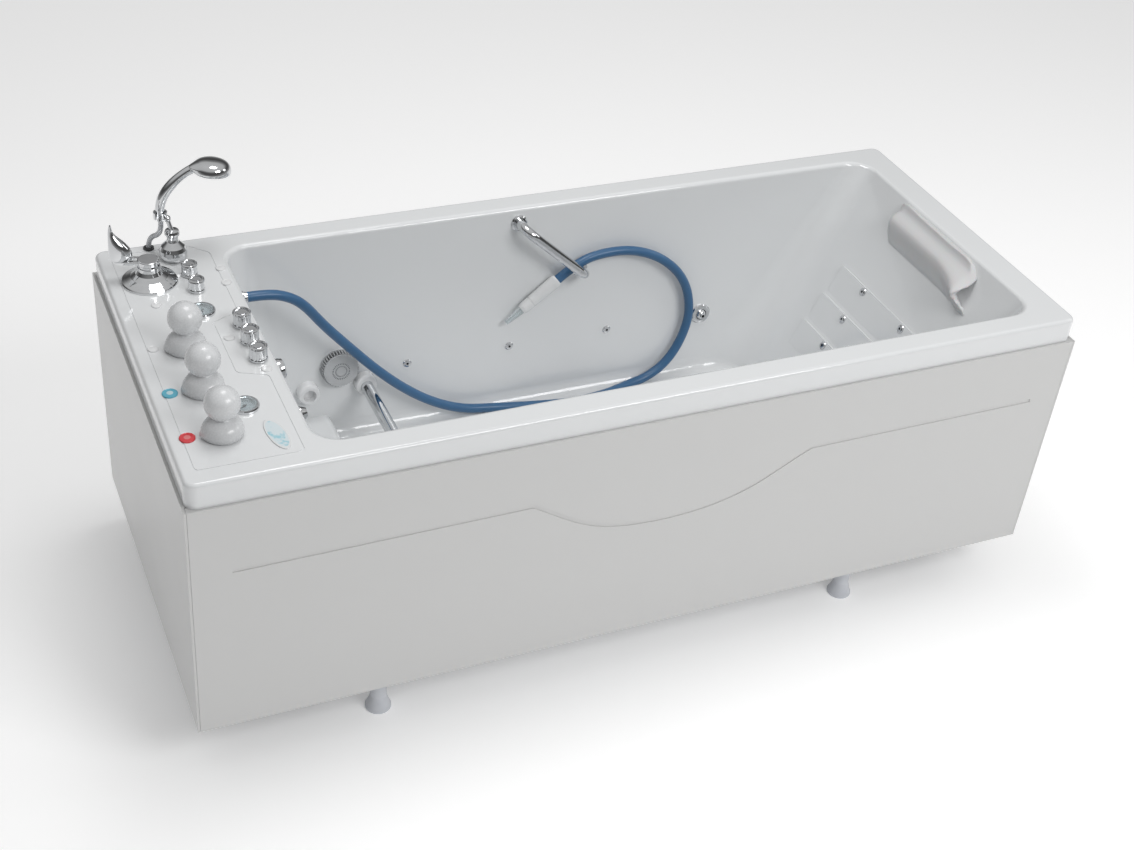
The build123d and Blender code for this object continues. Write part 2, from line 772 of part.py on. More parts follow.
def make_valve_handle():
    """Diverter handle: a ball grip on a bell-shaped skirt with a pointing nose, and its stem."""
    r = valve_skirt_radius
    neck = valve_neck_radius
    skirt = turned([(0, 0.4), (r - 2, 0.4), (r, 3), (r - 0.5, 9), (r - 3, 17), (r - 8, 26), (r - 15, 34),
                    (neck + 5, 40), (neck + 1, 44), (neck, 49), (0, 49)])
    plan = extrude(make_face(Polyline([(-8, 27), (-r - 5, 0), (-8, -27)], close=True)), 60)
    side = Polyline([(-4, 0, 0.4), (-r - 5, 0, 0.4), (-r - 5, 0, 5), (-neck, 0, 43), (-4, 0, 43)],
                    close=True)
    nose = plan & Pos(0, 60, 0) * extrude(make_face(side), amount=120, dir=(0, -1, 0))
    ball = Pos(0, 0, valve_ball_z) * Sphere(valve_ball_radius)
    stem = disc(valve_stem_radius, shell_wall + 34, -shell_wall - 33)
    return skirt + nose + ball + stem


def make_deck_valves():
    """Valve cartridges and the mixing body under the deck, each with its collar in a deck hole."""
    solids = []
    top = rim_height + 0.1
    for x, y in [(small_knob_x, y) for y in small_knob_y] + [(large_knob_x, y) for y in large_knob_y]:
        body = Pos(x, y, deck_under - knob_valve_depth) * disc(14, knob_valve_depth)
        body += Pos(x, y, deck_under - 1) * disc(knob_collar_radius, top - deck_under + 1)
        body -= Pos(x, y, deck_under - 22) * disc(knob_stem_radius + stem_gap, 60)
        solids.append(body)
    for y in valve_y:
        body = Pos(valve_x, y, deck_under - valve_depth) * disc(28, valve_depth)
        body += Pos(valve_x, y, deck_under - 1) * disc(valve_collar_radius, top - deck_under + 1)
        inlet_bottom = deck_under - valve_depth - inlet_length
        body += Pos(valve_x, y, inlet_bottom) * disc(inlet_radius, inlet_length + 1)
        body -= Pos(valve_x, y, deck_under - 36) * disc(valve_stem_radius + stem_gap, 90)
        solids.append(body)
    nut = Pos(mixer_x, mixer_y, deck_under - 10) * extrude(RegularPolygon(26, 6), 10)
    solids.append(nut - Pos(mixer_x, mixer_y, deck_under - 12) * disc(mixer_shank_radius + seat_gap, 20))
    solids.append(Pos(mixer_x, mixer_y, mixer_body_bottom) * disc(23, deck_under - 34 - mixer_body_bottom))
    holder_nut = extrude(RegularPolygon(13, 6), 8) - disc(holder_stud_radius + seat_gap, 8)
    solids.append(Pos(holder_x, holder_y, deck_under - 8) * holder_nut)
    return solids


def make_gauge_case():
    r = gauge_radius
    well = gauge_case_radius - 1.5
    return turned([(0, -38), (gauge_case_radius, -38), (gauge_case_radius, 0), (r, 0), (r, 5),
                   (r - 1.5, 7.5), (r - 4, 7.5), (r - 4, 5.4), (well, 4.6), (well, -2), (1.1, -2),
                   (1.1, -8), (0, -8)])


def make_gauge_dial():
    return disc(gauge_case_radius - 1.7, 1.6, -2) - disc(1.1, 8, -4)


def make_gauge_glass():
    return disc(gauge_radius - 4.2, 1.3, 5.5)


def make_gauge_needle():
    """Pointer with its hub and spindle, at rest towards the lower left of the dial."""
    blade = Polyline([(-6, -1.5, 1.2), (-6, 1.5, 1.2), (17, 0.5, 1.2), (17, -0.5, 1.2)], close=True)
    needle = extrude(make_face(blade), amount=0.7) + disc(3.2, 2.2, 0.6) + disc(1.04, 6, -5)
    return Rot(0, 0, needle_rest_angle) * needle


def make_mark(radius, height):
    return turned([(0, 0), (radius, 0), (radius, height - 1), (radius - 1, height),
                   (radius - 2.2, height - 0.5), (0, height + 0.4)])


def make_badge():
    """Plain oval plate on the deck, bare."""
    plate = extrude(Ellipse(badge_length / 2, badge_width / 2), 2.2)
    plate = chamfer(plate.edges().sort_by(Axis.Z)[-1], 0.8)
    return on_deck(badge_x, badge_y, plate, 90 + badge_turn)


def make_grille():
    """Suction cap: a solid centre and a ring of radial fins on a round base."""
    r = grille_radius
    cap = disc(r, 4) + disc(r - 5, 5, 19) + disc(r - 22, 20, 2)
    fins = [Rot(0, 0, 360 / grille_fins * i) * block(r - 24, r - 1.5, -1.1, 1.1, 3, 21)
            for i in range(grille_fins)]
    cap += fins
    cap += disc(grille_shank_radius, shell_wall + 12, -shell_wall - 12)
    cap -= disc(grille_shank_radius - 5, shell_wall + 11, -shell_wall - 12)
    return back_wall(grille_x, grille_z) * cap


def make_mini_jet(wall=shell_wall):
    """Small chrome air jet: a domed flange with a nozzle hole and its shank through the wall."""
    r = mini_jet_radius
    jet = turned([(0, 0), (r, 0), (r, 1.6), (r - 2, 3.4), (r - 5, 4.2), (0, 4.2)])
    jet += disc(mini_shank_radius, wall + 9, -wall - 8)
    return jet - disc(3.2, 60, -40)


def make_main_jet_ring():
    """Flange and socket of a large water jet; the ball turns in the socket."""
    r = main_jet_radius
    ring = turned([(0, 0), (r, 0), (r, 2.4), (r - 3, 5.4), (r - 9, 6.4), (0, 6.4)])
    ring += disc(main_shank_radius, shell_wall + 20, -shell_wall - 20)
    ring -= Sphere(eyeball_radius + seat_gap)
    ring -= turned([(0, 0), (eyeball_radius - 1.2, 0), (eyeball_radius + 1.5, 12), (0, 12)])
    return ring - disc(9, 60, -50)


def make_eyeball():
    """Ball of a large jet, with its nozzle bore."""
    ball = Sphere(eyeball_radius) + disc(6.5, 6, eyeball_radius - 3)
    return ball - disc(4, 60, -30)


def socket_face_y():
    """How far out along Y the foot bar's ends lie in their sockets."""
    return side_y(foot_bar_z) - socket_floor


def make_bar_sockets():
    """White seats of the foot bar, a pair in use and a spare pair nearer the foot end."""
    seats = []
    for x in (foot_bar_x, spare_socket_x):
        for plane in (back_wall(x, foot_bar_z), front_wall(x, foot_bar_z)):
            seat = plane * turned([(0, 0), (socket_radius, 0), (socket_radius, socket_length - 7),
                                   (socket_radius - 2, socket_length - 2),
                                   (socket_radius - 6, socket_length), (0, socket_length)])
            bore = Pos(x, 0, foot_bar_z) * Rot(90, 0, 0) * Cylinder(foot_bar_radius + seat_gap,
                                                                   2 * socket_face_y() + seat_gap)
            seats.append(seat - bore)
    return seats


def make_foot_bar():
    bar = Pos(foot_bar_x, 0, foot_bar_z) * Rot(90, 0, 0) * Cylinder(foot_bar_radius, 2 * socket_face_y())
    return fillet(bar.edges().filter_by(GeomType.CIRCLE), 2)


def make_grab_bar():
    """Slanted grab bar on the back wall, a bent tube between two round flanges."""
    plane = back_wall(0, grab_bar_a[1])
    rise = (grab_bar_b[1] - grab_bar_a[1]) / math.cos(math.radians(side_draft))
    a = Vector(grab_bar_a[0], 0, 0)
    b = Vector(grab_bar_b[0], rise, 0)
    out = Vector(0, 0, grab_bar_reach)
    path = FilletPolyline([a + Vector(0, 0, 3), a + out, b + out, b + Vector(0, 0, 3)], radius=30)
    bar = sweep(Plane(path @ 0, z_dir=path % 0) * Circle(grab_bar_radius), path=path)
    for end in (a, b):
        bar += Pos(*end) * turned([(0, 0), (21, 0), (21, 2), (17, 5), (0, 5)])
    return plane * bar


def make_drain():
    """Drain flange in the floor with a slotted grate."""
    r = drain_radius
    drain = turned([(0, 0), (r, 0), (r, 1.5), (r - 4, 3.2), (0, 3.2)])
    drain += disc(drain_shank_radius, shell_wall + 27, -shell_wall - 27)
    drain -= disc(drain_shank_radius - 4, shell_wall + 27, -shell_wall - 28)
    drain -= [Rot(0, 0, 45 * i) * block(6, 20, -2, 2, -3, 5) for i in range(8)]
    return Pos(drain_x, 0, floor_z) * drain


def make_foot_wall_fittings():
    """Overflow cover and filler spout on the foot wall, just under the deck's lip."""
    cover = turned([(0, 0), (24, 0), (24, 7), (22, 14), (17, 17), (0, 17)])
    cover += disc(overflow_shank_radius, shell_wall + 12, -shell_wall - 12)
    spout = turned([(0, 0), (17, 0), (17, 6), (13, 14), (11, 18), (0, 18)])
    spout += disc(filler_shank_radius, shell_wall + 12, -shell_wall - 12)
    spout -= disc(6, 60, -30)
    return [foot_wall(overflow_y, overflow_z) * cover, foot_wall(filler_y, filler_z) * spout]


def headrest_section(y, arch, drawn):
    """Closed arch of foam across the slope: thick outer bow, hollow behind, at one place along Y."""
    top = headrest_top + drawn
    low = headrest_top + headrest_length - drawn
    sheet = headrest_sheet
    crest = top + (low - top) * 0.60
    outer = ThreePointArc((y, top, 4), (y, crest, arch), (y, low, 4))
    inner = ThreePointArc((y, low - sheet, 0.4), (y, crest + 1, arch - sheet), (y, top + sheet * 1.9, 0.4))
    edges = [outer, Line((y, low, 4), (y, low - 1.5, 0.4)),
             Line((y, low - 1.5, 0.4), (y, low - sheet, 0.4)),
             inner, Line((y, top + sheet * 1.9, 0.4), (y, top + 1.5, 0.4)),
             Line((y, top + 1.5, 0.4), (y, top, 4))]
    return make_face(edges)


def make_headrest():
    """Soft neck pad on the backrest: an arched sheet, lower in the middle, flared at its ends."""
    half = headrest_half_width
    places = [(-1.0, 1.0, 5), (-0.72, 0.88, 1), (-0.3, 0.18, 0), (0.3, 0.18, 0), (0.72, 0.88, 1),
              (1.0, 1.0, 5)]
    faces = []
    for share, flare, drawn in places:
        arch = headrest_arch_middle + (headrest_arch_end - headrest_arch_middle) * flare
        faces.append(headrest_section(share * half, arch, drawn))
    return backrest(headrest_y, rim_height) * loft(faces)


def make_massage_hose():
    return tube_along(massage_route, massage_hose_diameter / 2, bend_radii(massage_route))


def make_hose_outlet():
    """Outlet on the foot wall: flange, union nut and a level spigot that the hose leaves."""
    y = massage_route[0][1]
    start_x = massage_route[0][0]
    union = turned([(0, 0), (19, 0), (19, 3), (15, 6), (15, 13), (0, 13)])
    union += disc(outlet_shank_radius, shell_wall + 14, -shell_wall - 14)
    outlet = foot_wall(y, outlet_z()) * union
    spigot = rod((foot_wall_x(outlet_z()) + 4, y, outlet_z()), (start_x, y, outlet_z()), 13.4)
    return outlet + spigot


def nozzle_plane():
    """Plane at the massage hose's free end, its Z along the way the water leaves."""
    last = Vector(*massage_route[-1])
    return Plane(last, z_dir=(last - Vector(*massage_route[-2])).normalized())


def make_nozzle():
    """White grip at the end of the massage hose, with a thin ring groove near its front."""
    r = nozzle_radius
    n = nozzle_length
    grip = turned([(0, 0), (r - 3, 0), (r - 0.5, 4), (r, 12), (r - 1, n * 0.45), (r - 1.5, n - 34),
                   (r - 3.2, n - 33), (r - 3.2, n - 31.5), (r - 1.5, n - 30.5), (r - 2.5, n - 8),
                   (r - 5, n), (7, n), (7, n - 12), (0, n - 12)])
    return nozzle_plane() * grip


def make_nozzle_tip():
    """Clear tapered tip of the massage nozzle."""
    n = nozzle_length
    end = n + nozzle_tip_length
    tip = turned([(3, n - 11.7), (6.7, n - 11.7), (6.7, n + seat_gap), (10, n + seat_gap), (9.6, n + 8),
                  (6, end - 4), (5, end), (3, end)])
    return nozzle_plane() * tip


def across_y(shape):
    """Turn a shape made along Z so that it lies along +Y through the pump's axis."""
    return Pos(pump_x, 0, pump_z) * Rot(-90, 0, 0) * shape


def make_pump_housing():
    """Volute with its suction branch on the far side and its pressure branch on top."""
    half = volute_width / 2
    body = disc(volute_radius, volute_width, volute_y - half)
    body += disc(pipe_radius + 5, 20, volute_y + half)
    body -= disc(impeller_radius + 6, volute_width - 14, volute_y - half + 7)
    body -= disc(pipe_radius - 3, 60, volute_y + half - 20)
    body -= disc(shaft_radius + bearing_gap, 40, volute_y - half - 10)
    body = across_y(body)
    riser = Pos(pump_x, volute_y, pump_z + volute_radius - 6) * disc(pressure_radius + 4, 18)
    return body + riser


def make_pump_motor():
    """Motor housing with end bearings, and its fan cover."""
    front = volute_y - volute_width / 2
    back = front - motor_length
    housing = disc(motor_radius, motor_length, back)
    housing -= disc(motor_radius - 12, motor_length - 24, back + 12)
    housing -= disc(shaft_radius + bearing_gap, motor_length + 2, back - 1)
    fins = [Rot(0, 0, 30 * i) * block(motor_radius - 1, motor_radius + 5, -1.5, 1.5, back + 14, front - 14)
            for i in range(12) if i not in (2, 3, 4)]
    cover = disc(motor_radius - 2, fan_room, back - fan_room)
    cover -= disc(motor_radius - 5, fan_room, back - fan_room + 3)
    cover -= [Rot(0, 0, 40 * i) * block(20, 44, -3, 3, back - fan_room - 1, back - fan_room + 5)
              for i in range(9)]
    return [across_y(housing + fins), across_y(cover)]


def make_pump_rotor():
    """Shaft with the impeller, the motor core and the cooling fan."""
    front = volute_y - volute_width / 2
    back = front - motor_length
    shaft = disc(shaft_radius, volute_y + 14 - (back - fan_room + 12), back - fan_room + 12)
    rotor = shaft + disc(impeller_radius, 16, volute_y - 8) + disc(34, motor_length - 60, back + 30)
    rotor += disc(20, 12, back - 20)
    rotor += [Rot(0, 0, 60 * i) * block(14, motor_radius - 12, -1.5, 1.5, back - 20, back - 8)
              for i in range(6)]
    return across_y(rotor)


def make_water_pipes():
    """Suction pipe, pressure pipes with the jets' bodies, hose feed and drain trap."""
    wall_out = shell_wall + seat_gap / 2
    grille = back_wall(grille_x, grille_z)
    cup = grille * disc(pipe_radius + 20, 22, -wall_out - 22 - 8) - grille * disc(
        grille_shank_radius + seat_gap, 16, -wall_out - 20)
    suction = pump_z
    run = [(grille_x, suction_y, grille_z - 3), (pump_x, suction_y, grille_z - 3),
           (pump_x, suction_y, suction), (pump_x, volute_y + volute_width / 2 + 20, suction)]
    suction_pipe = tube_along(run, pipe_radius, [50, 50]) + cup

    ring = []
    stub = jet_body_length
    bodies = [back_wall(x, jet_z) for x in side_jet_x] + [front_wall(x, jet_z) for x in side_jet_x]
    slopes = [rib_face(y, z) * Pos(0, 0, -rib_rise) for y, z in backrest_jet_places()]
    for plane in bodies + slopes:
        ring.append(plane * (disc(jet_body_radius, stub, -wall_out - stub)
                             - disc(mini_shank_radius + seat_gap, 11, -wall_out - 10)))
    big = [back_wall(main_jet_x, jet_z), front_wall(main_jet_x, jet_z)]
    for plane in big:
        ring.append(plane * (disc(main_shank_radius + 6, 26, -wall_out - 26)
                             - disc(main_shank_radius + seat_gap, 22, -wall_out - 21)))
    drop_y = side_y(jet_z) + wall_out + stub - 10
    for side in (-1, 1):
        y = side * branch_y
        ring.append(rod((pump_x, y, branch_z), (cross_pipe_x(), y, branch_z), branch_radius))
        for x, low in [(x, jet_z + 2) for x in side_jet_x] + [(main_jet_x, jet_z + main_shank_radius + 3)]:
            ring.append(rod((x, side * drop_y, low), (x, side * drop_y, branch_z), 6))
    for x in (pump_x, cross_pipe_x()):
        ring.append(rod((x, -branch_y, branch_z), (x, branch_y, branch_z), branch_radius))
    for side in (-1, 1):
        y = side * backrest_jet_y
        low, high = rib_tops[-1] - backrest_jet_drop, rib_tops[0] - backrest_jet_drop
        ends = [backrest(y, z) * Pos(0, 0, -riser_depth) for z in (low - 20, high + 20)]
        ring.append(rod(ends[0].position, ends[1].position, 9))
    pump_top = pump_z + volute_radius + 12
    ring.append(rod((pump_x, volute_y, pump_top), (pump_x, volute_y, branch_z), pressure_radius))
    pressure = ring[0].fuse(*ring[1:])

    outlet = foot_wall(massage_route[0][1], outlet_z())
    feed_x, feed_y = large_knob_x, large_knob_y[0]
    feed_start = (outlet * Pos(0, 0, -wall_out - 14)).position
    reach = (foot_wall_x(outlet_z()) - feed_x) / math.cos(math.radians(foot_draft))
    feed_turn = (outlet * Pos(0, 0, -reach)).position
    feed = tube_along([feed_start, feed_turn, (feed_x, feed_y, feed_turn.Z),
                       (feed_x, feed_y, deck_under - knob_valve_depth)], 8, [13, 13])

    trap_top = floor_z - shell_wall - 27
    trap = Pos(drain_x, 0, trap_top - 110) * disc(33, 110)
    trap_z = trap_top - 34
    trap_end = drain_x - trap_reach
    trap += rod((drain_x, 0, trap_z), (trap_end + trap_outlet_length, 0, trap_z), trap_shoulder_radius)
    trap += rod((drain_x, 0, trap_z), (trap_end, 0, trap_z), trap_outlet_radius)
    return [suction_pipe, pressure, feed, trap]


def cross_pipe_x():
    """X of the cross pipe that feeds the backrest, where it meets the risers behind it."""
    a = math.radians(backrest_angle)
    return backrest_x(branch_z) + riser_depth / math.cos(a)


def make_control_box():
    """Sealed control box on the head cross bar, with its cable gland and no cable."""
    top = rail_bottom + rail_height
    box = block(crossbar_x[-1] - 50, crossbar_x[-1] + 50, -120, 120, top, top + 150)
    box = fillet(box.edges().filter_by(Axis.Z), 8)
    box += rod((crossbar_x[-1] + 48, 60, top + 40), (crossbar_x[-1] + 66, 60, top + 40), 11)
    return box


def group(solids):
    return Compound(children=list(solids))


def make_all():
    """Every node of the tub by name."""
    nodes = {
        "tub_shell": make_shell(),
        "front_apron": make_front_apron(),
        "back_apron": make_back_apron(),
        "foot_apron": make_end_apron(-1),
        "head_apron": make_end_apron(1),
        "apron_clips": group(make_apron_clips()),
        "base_frame": group(make_base_frame()),
        "frame_uprights": group(make_uprights()),
        "foot_screws": group(make_foot_screws()),
        "foot_pads": group(make_foot_pads()),
        "mixer_base": make_mixer_base(),
        "mixer_turret": make_mixer_turret(),
        "mixer_lever": make_mixer_lever(),
        "shower_holder": make_shower_holder(),
        "shower_clip": make_shower_clip(),
        "shower_handset": make_handset(),
        "spray_plate": make_spray_plate(),
        "shower_hose": make_shower_hose(),
        "shower_hose_store": make_shower_hose_store(),
        "hose_grommet": make_grommet(),
        "deck_valves": group(make_deck_valves()),
        "gauge_cases": group([on_deck(gauge_x, y, make_gauge_case()) for y in gauge_y]),
        "gauge_dials": group([on_deck(gauge_x, y, make_gauge_dial()) for y in gauge_y]),
        "gauge_glasses": group([on_deck(gauge_x, y, make_gauge_glass()) for y in gauge_y]),
        "white_marks": group([on_deck(x, y, make_mark(mark_radius, mark_height))
                             for x, y in white_marks]),
        "cold_mark": on_deck(*cold_mark_at, make_mark(colour_mark_radius, mark_height + 0.6)),
        "hot_mark": on_deck(*hot_mark_at, make_mark(colour_mark_radius, mark_height + 0.6)),
        "badge_plate": make_badge(),
        "suction_grille": make_grille(),
        "side_jets": group([plane(x, jet_z) * make_mini_jet() for plane in (back_wall, front_wall)
                            for x in side_jet_x]),
        "backrest_jets": group([rib_face(y, z) * make_mini_jet(shell_wall + rib_rise)
                                for y, z in backrest_jet_places()]),
        "main_jet_rings": group([plane(main_jet_x, jet_z) * make_main_jet_ring()
                                 for plane in (back_wall, front_wall)]),
        "jet_eyeball_back": back_wall(main_jet_x, jet_z) * make_eyeball(),
        "jet_eyeball_front": front_wall(main_jet_x, jet_z) * make_eyeball(),
        "foot_bar": make_foot_bar(),
        "foot_bar_sockets": group(make_bar_sockets()),
        "grab_bar": make_grab_bar(),
        "drain_fitting": make_drain(),
        "foot_wall_fittings": group(make_foot_wall_fittings()),
        "headrest_pad": make_headrest(),
        "massage_hose": make_massage_hose(),
        "hose_outlet": make_hose_outlet(),
        "massage_nozzle": make_nozzle(),
        "nozzle_tip": make_nozzle_tip(),
        "pump_housing": make_pump_housing(),
        "pump_motor": group(make_pump_motor()),
        "pump_rotor": make_pump_rotor(),
        "water_pipes": group(make_water_pipes()),
        "control_box": make_control_box(),
    }
    for i, y in enumerate(small_knob_y, 1):
        small_knob = make_knob(small_knob_radius, small_knob_height, small_knob_flutes)
        nodes[f"air_knob_{i}"] = on_deck(small_knob_x, y, small_knob)
    for i, y in enumerate(large_knob_y, 1):
        large_knob = make_knob(large_knob_radius, large_knob_height, large_knob_flutes)
        nodes[f"flow_knob_{i}"] = on_deck(large_knob_x, y, large_knob)
    for i, y in enumerate(valve_y, 1):
        nodes[f"valve_handle_{i}"] = on_deck(valve_x, y, make_valve_handle())
    for i, y in enumerate(gauge_y, 1):
        nodes[f"gauge_needle_{i}"] = on_deck(gauge_x, y, make_gauge_needle())
    return nodes


def print_cord(name, points, diameter, shape):
    """Print a cord's bend radii, its length and its solid's volume against section times length."""
    radii = bend_radii(points)
    length = FilletPolyline(points, radius=radii).length
    section = math.pi * diameter ** 2 / 4
    print(name, "radii", [round(r) for r in radii])
    print(name, "length", round(length), "volume over section times length",
          round(shape.volume / (section * length), 4))


def main():
    os.makedirs("parts", exist_ok=True)
    nodes = make_all()
    for name, shape in nodes.items():
        export_step(shape, f"parts/{name}.step")
    print_cord("massage_hose", massage_route, massage_hose_diameter, nodes["massage_hose"])
    print_cord("shower_hose", shower_route, shower_hose_diameter, nodes["shower_hose"])
    print_cord("shower_hose_store", store_route, shower_hose_diameter, nodes["shower_hose_store"])


main()
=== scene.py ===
import json
import math
import bpy
import numpy as np
from mathutils import Matrix, Vector


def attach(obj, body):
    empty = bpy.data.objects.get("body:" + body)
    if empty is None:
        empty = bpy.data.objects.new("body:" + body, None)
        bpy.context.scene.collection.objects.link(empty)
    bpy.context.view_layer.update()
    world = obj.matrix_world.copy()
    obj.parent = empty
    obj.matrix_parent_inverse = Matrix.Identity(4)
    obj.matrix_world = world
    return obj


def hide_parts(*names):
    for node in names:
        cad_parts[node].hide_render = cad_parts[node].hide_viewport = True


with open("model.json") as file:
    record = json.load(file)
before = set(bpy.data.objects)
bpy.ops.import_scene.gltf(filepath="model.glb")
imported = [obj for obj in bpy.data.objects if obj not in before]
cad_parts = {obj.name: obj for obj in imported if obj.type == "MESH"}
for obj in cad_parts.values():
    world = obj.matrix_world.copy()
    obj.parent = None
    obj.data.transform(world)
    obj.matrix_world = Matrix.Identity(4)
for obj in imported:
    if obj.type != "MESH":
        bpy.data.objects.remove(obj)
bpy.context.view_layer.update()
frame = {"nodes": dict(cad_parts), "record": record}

nodes = frame["nodes"]

# Camera, floor and light

cameraView = {
    "place": (-1.5049, -2.8796, 2.7862),
    "ahead": (0.366473, 0.716164, -0.593975),
    "roll": 6.09,              # degrees, the photographer's tilt
    "lens": 52.6,
    "sensor": 36.0,
}


def makeCamera(view):
    # looks along "ahead", then rolls about its own axis
    data = bpy.data.cameras.new("tubCamera")
    data.lens = view["lens"]
    data.sensor_width = view["sensor"]
    data.clip_end = 60.0
    camera = bpy.data.objects.new("tubCamera", data)
    bpy.context.scene.collection.objects.link(camera)
    turn = Vector(view["ahead"]).to_track_quat("-Z", "Y").to_matrix()
    roll = Matrix.Rotation(math.radians(view["roll"]), 3, "Z")
    camera.matrix_world = Matrix.Translation(view["place"]) @ (turn @ roll).to_4x4()
    bpy.context.scene.camera = camera
    return camera


makeCamera(cameraView)

floorLook = {"side": 16.0, "colour": (0.95, 0.95, 0.95, 1.0), "glow": 0.21}
worldLook = {
    # height of the view ray (sine) and brightness: dark low walls, bright ceiling
    "stops": [(0.0, 0.62), (0.42, 0.56), (0.50, 0.40), (0.56, 0.16), (0.64, 0.10), (0.72, 0.30),
              (0.80, 0.78), (1.0, 0.95)],
    "strength": 0.66,
}
lampTable = {
    # name: (place, aim, width, height, watts)
    "windowLamp": ((1.6, -3.6, 3.9), (0.0, 0.0, 0.5), 2.6, 1.6, 92.0),
    "ceilingLamp": ((-0.2, 0.4, 3.8), (0.3, 0.0, 0.5), 1.3, 1.2, 30.0),
    "headLamp": ((4.0, -0.6, 2.8), (0.4, 0.0, 0.6), 1.6, 1.6, 14.0),
}


def makeLamp(name, place, aim, width, height, watts):
    # a rectangle of light that faces its aim
    data = bpy.data.lights.new(name, "AREA")
    data.shape = "RECTANGLE"
    data.size = width
    data.size_y = height
    data.energy = watts
    lamp = bpy.data.objects.new(name, data)
    bpy.context.scene.collection.objects.link(lamp)
    facing = (Vector(aim) - Vector(place)).to_track_quat("-Z", "Y").to_matrix().to_4x4()
    lamp.matrix_world = Matrix.Translation(place) @ facing
    return lamp


def makeWorld(look):
    # a room whose brightness depends only on how high one looks
    world = bpy.data.worlds.new("softRoom")
    world.use_nodes = True
    tree = world.node_tree
    light = tree.nodes["Background"]
    light.inputs["Strength"].default_value = look["strength"]
    way = tree.nodes.new("ShaderNodeTexCoord").outputs["Generated"]
    parts = tree.nodes.new("ShaderNodeSeparateXYZ")
    tree.links.new(way, parts.inputs["Vector"])
    height = tree.nodes.new("ShaderNodeMapRange")
    height.inputs["From Min"].default_value = -1.0
    tree.links.new(parts.outputs["Z"], height.inputs["Value"])
    ramp = tree.nodes.new("ShaderNodeValToRGB")
    tree.links.new(height.outputs["Result"], ramp.inputs["Fac"])
    stops = ramp.color_ramp.elements
    while len(stops) < len(look["stops"]):
        stops.new(0.5)
    for stop, (place, value) in zip(stops, look["stops"]):
        stop.position = place
        stop.color = (value, value, value, 1.0)
    tree.links.new(ramp.outputs["Color"], light.inputs["Color"])
    bpy.context.scene.world = world


def makeStage():
    # one flat square just under the feet, seen as a plain pale floor
    half = floorLook["side"] / 2
    corners = [(-half, -half, -0.0005), (half, -half, -0.0005), (half, half, -0.0005), (-half, half, -0.0005)]
    mesh = bpy.data.meshes.new("paleFloor")
    mesh.from_pydata(corners, [], [(0, 1, 2, 3)])
    floor = bpy.data.objects.new("paleFloor", mesh)
    bpy.context.scene.collection.objects.link(floor)
    material = bpy.data.materials.new("paleFloor")
    material.use_nodes = True
    shader = material.node_tree.nodes["Principled BSDF"]
    shader.inputs["Base Color"].default_value = floorLook["colour"]
    shader.inputs["Roughness"].default_value = 0.75
    shader.inputs["Emission Color"].default_value = (1.0, 1.0, 1.0, 1.0)
    shader.inputs["Emission Strength"].default_value = floorLook["glow"]
    mesh.materials.append(material)
    makeWorld(worldLook)
    bpy.context.scene.view_settings.view_transform = "Standard"
    for name, (place, aim, width, height, watts) in lampTable.items():
        makeLamp(name, place, aim, width, height, watts)


makeStage()
print("camera, floor and light are set")

# Node helpers for the finishes


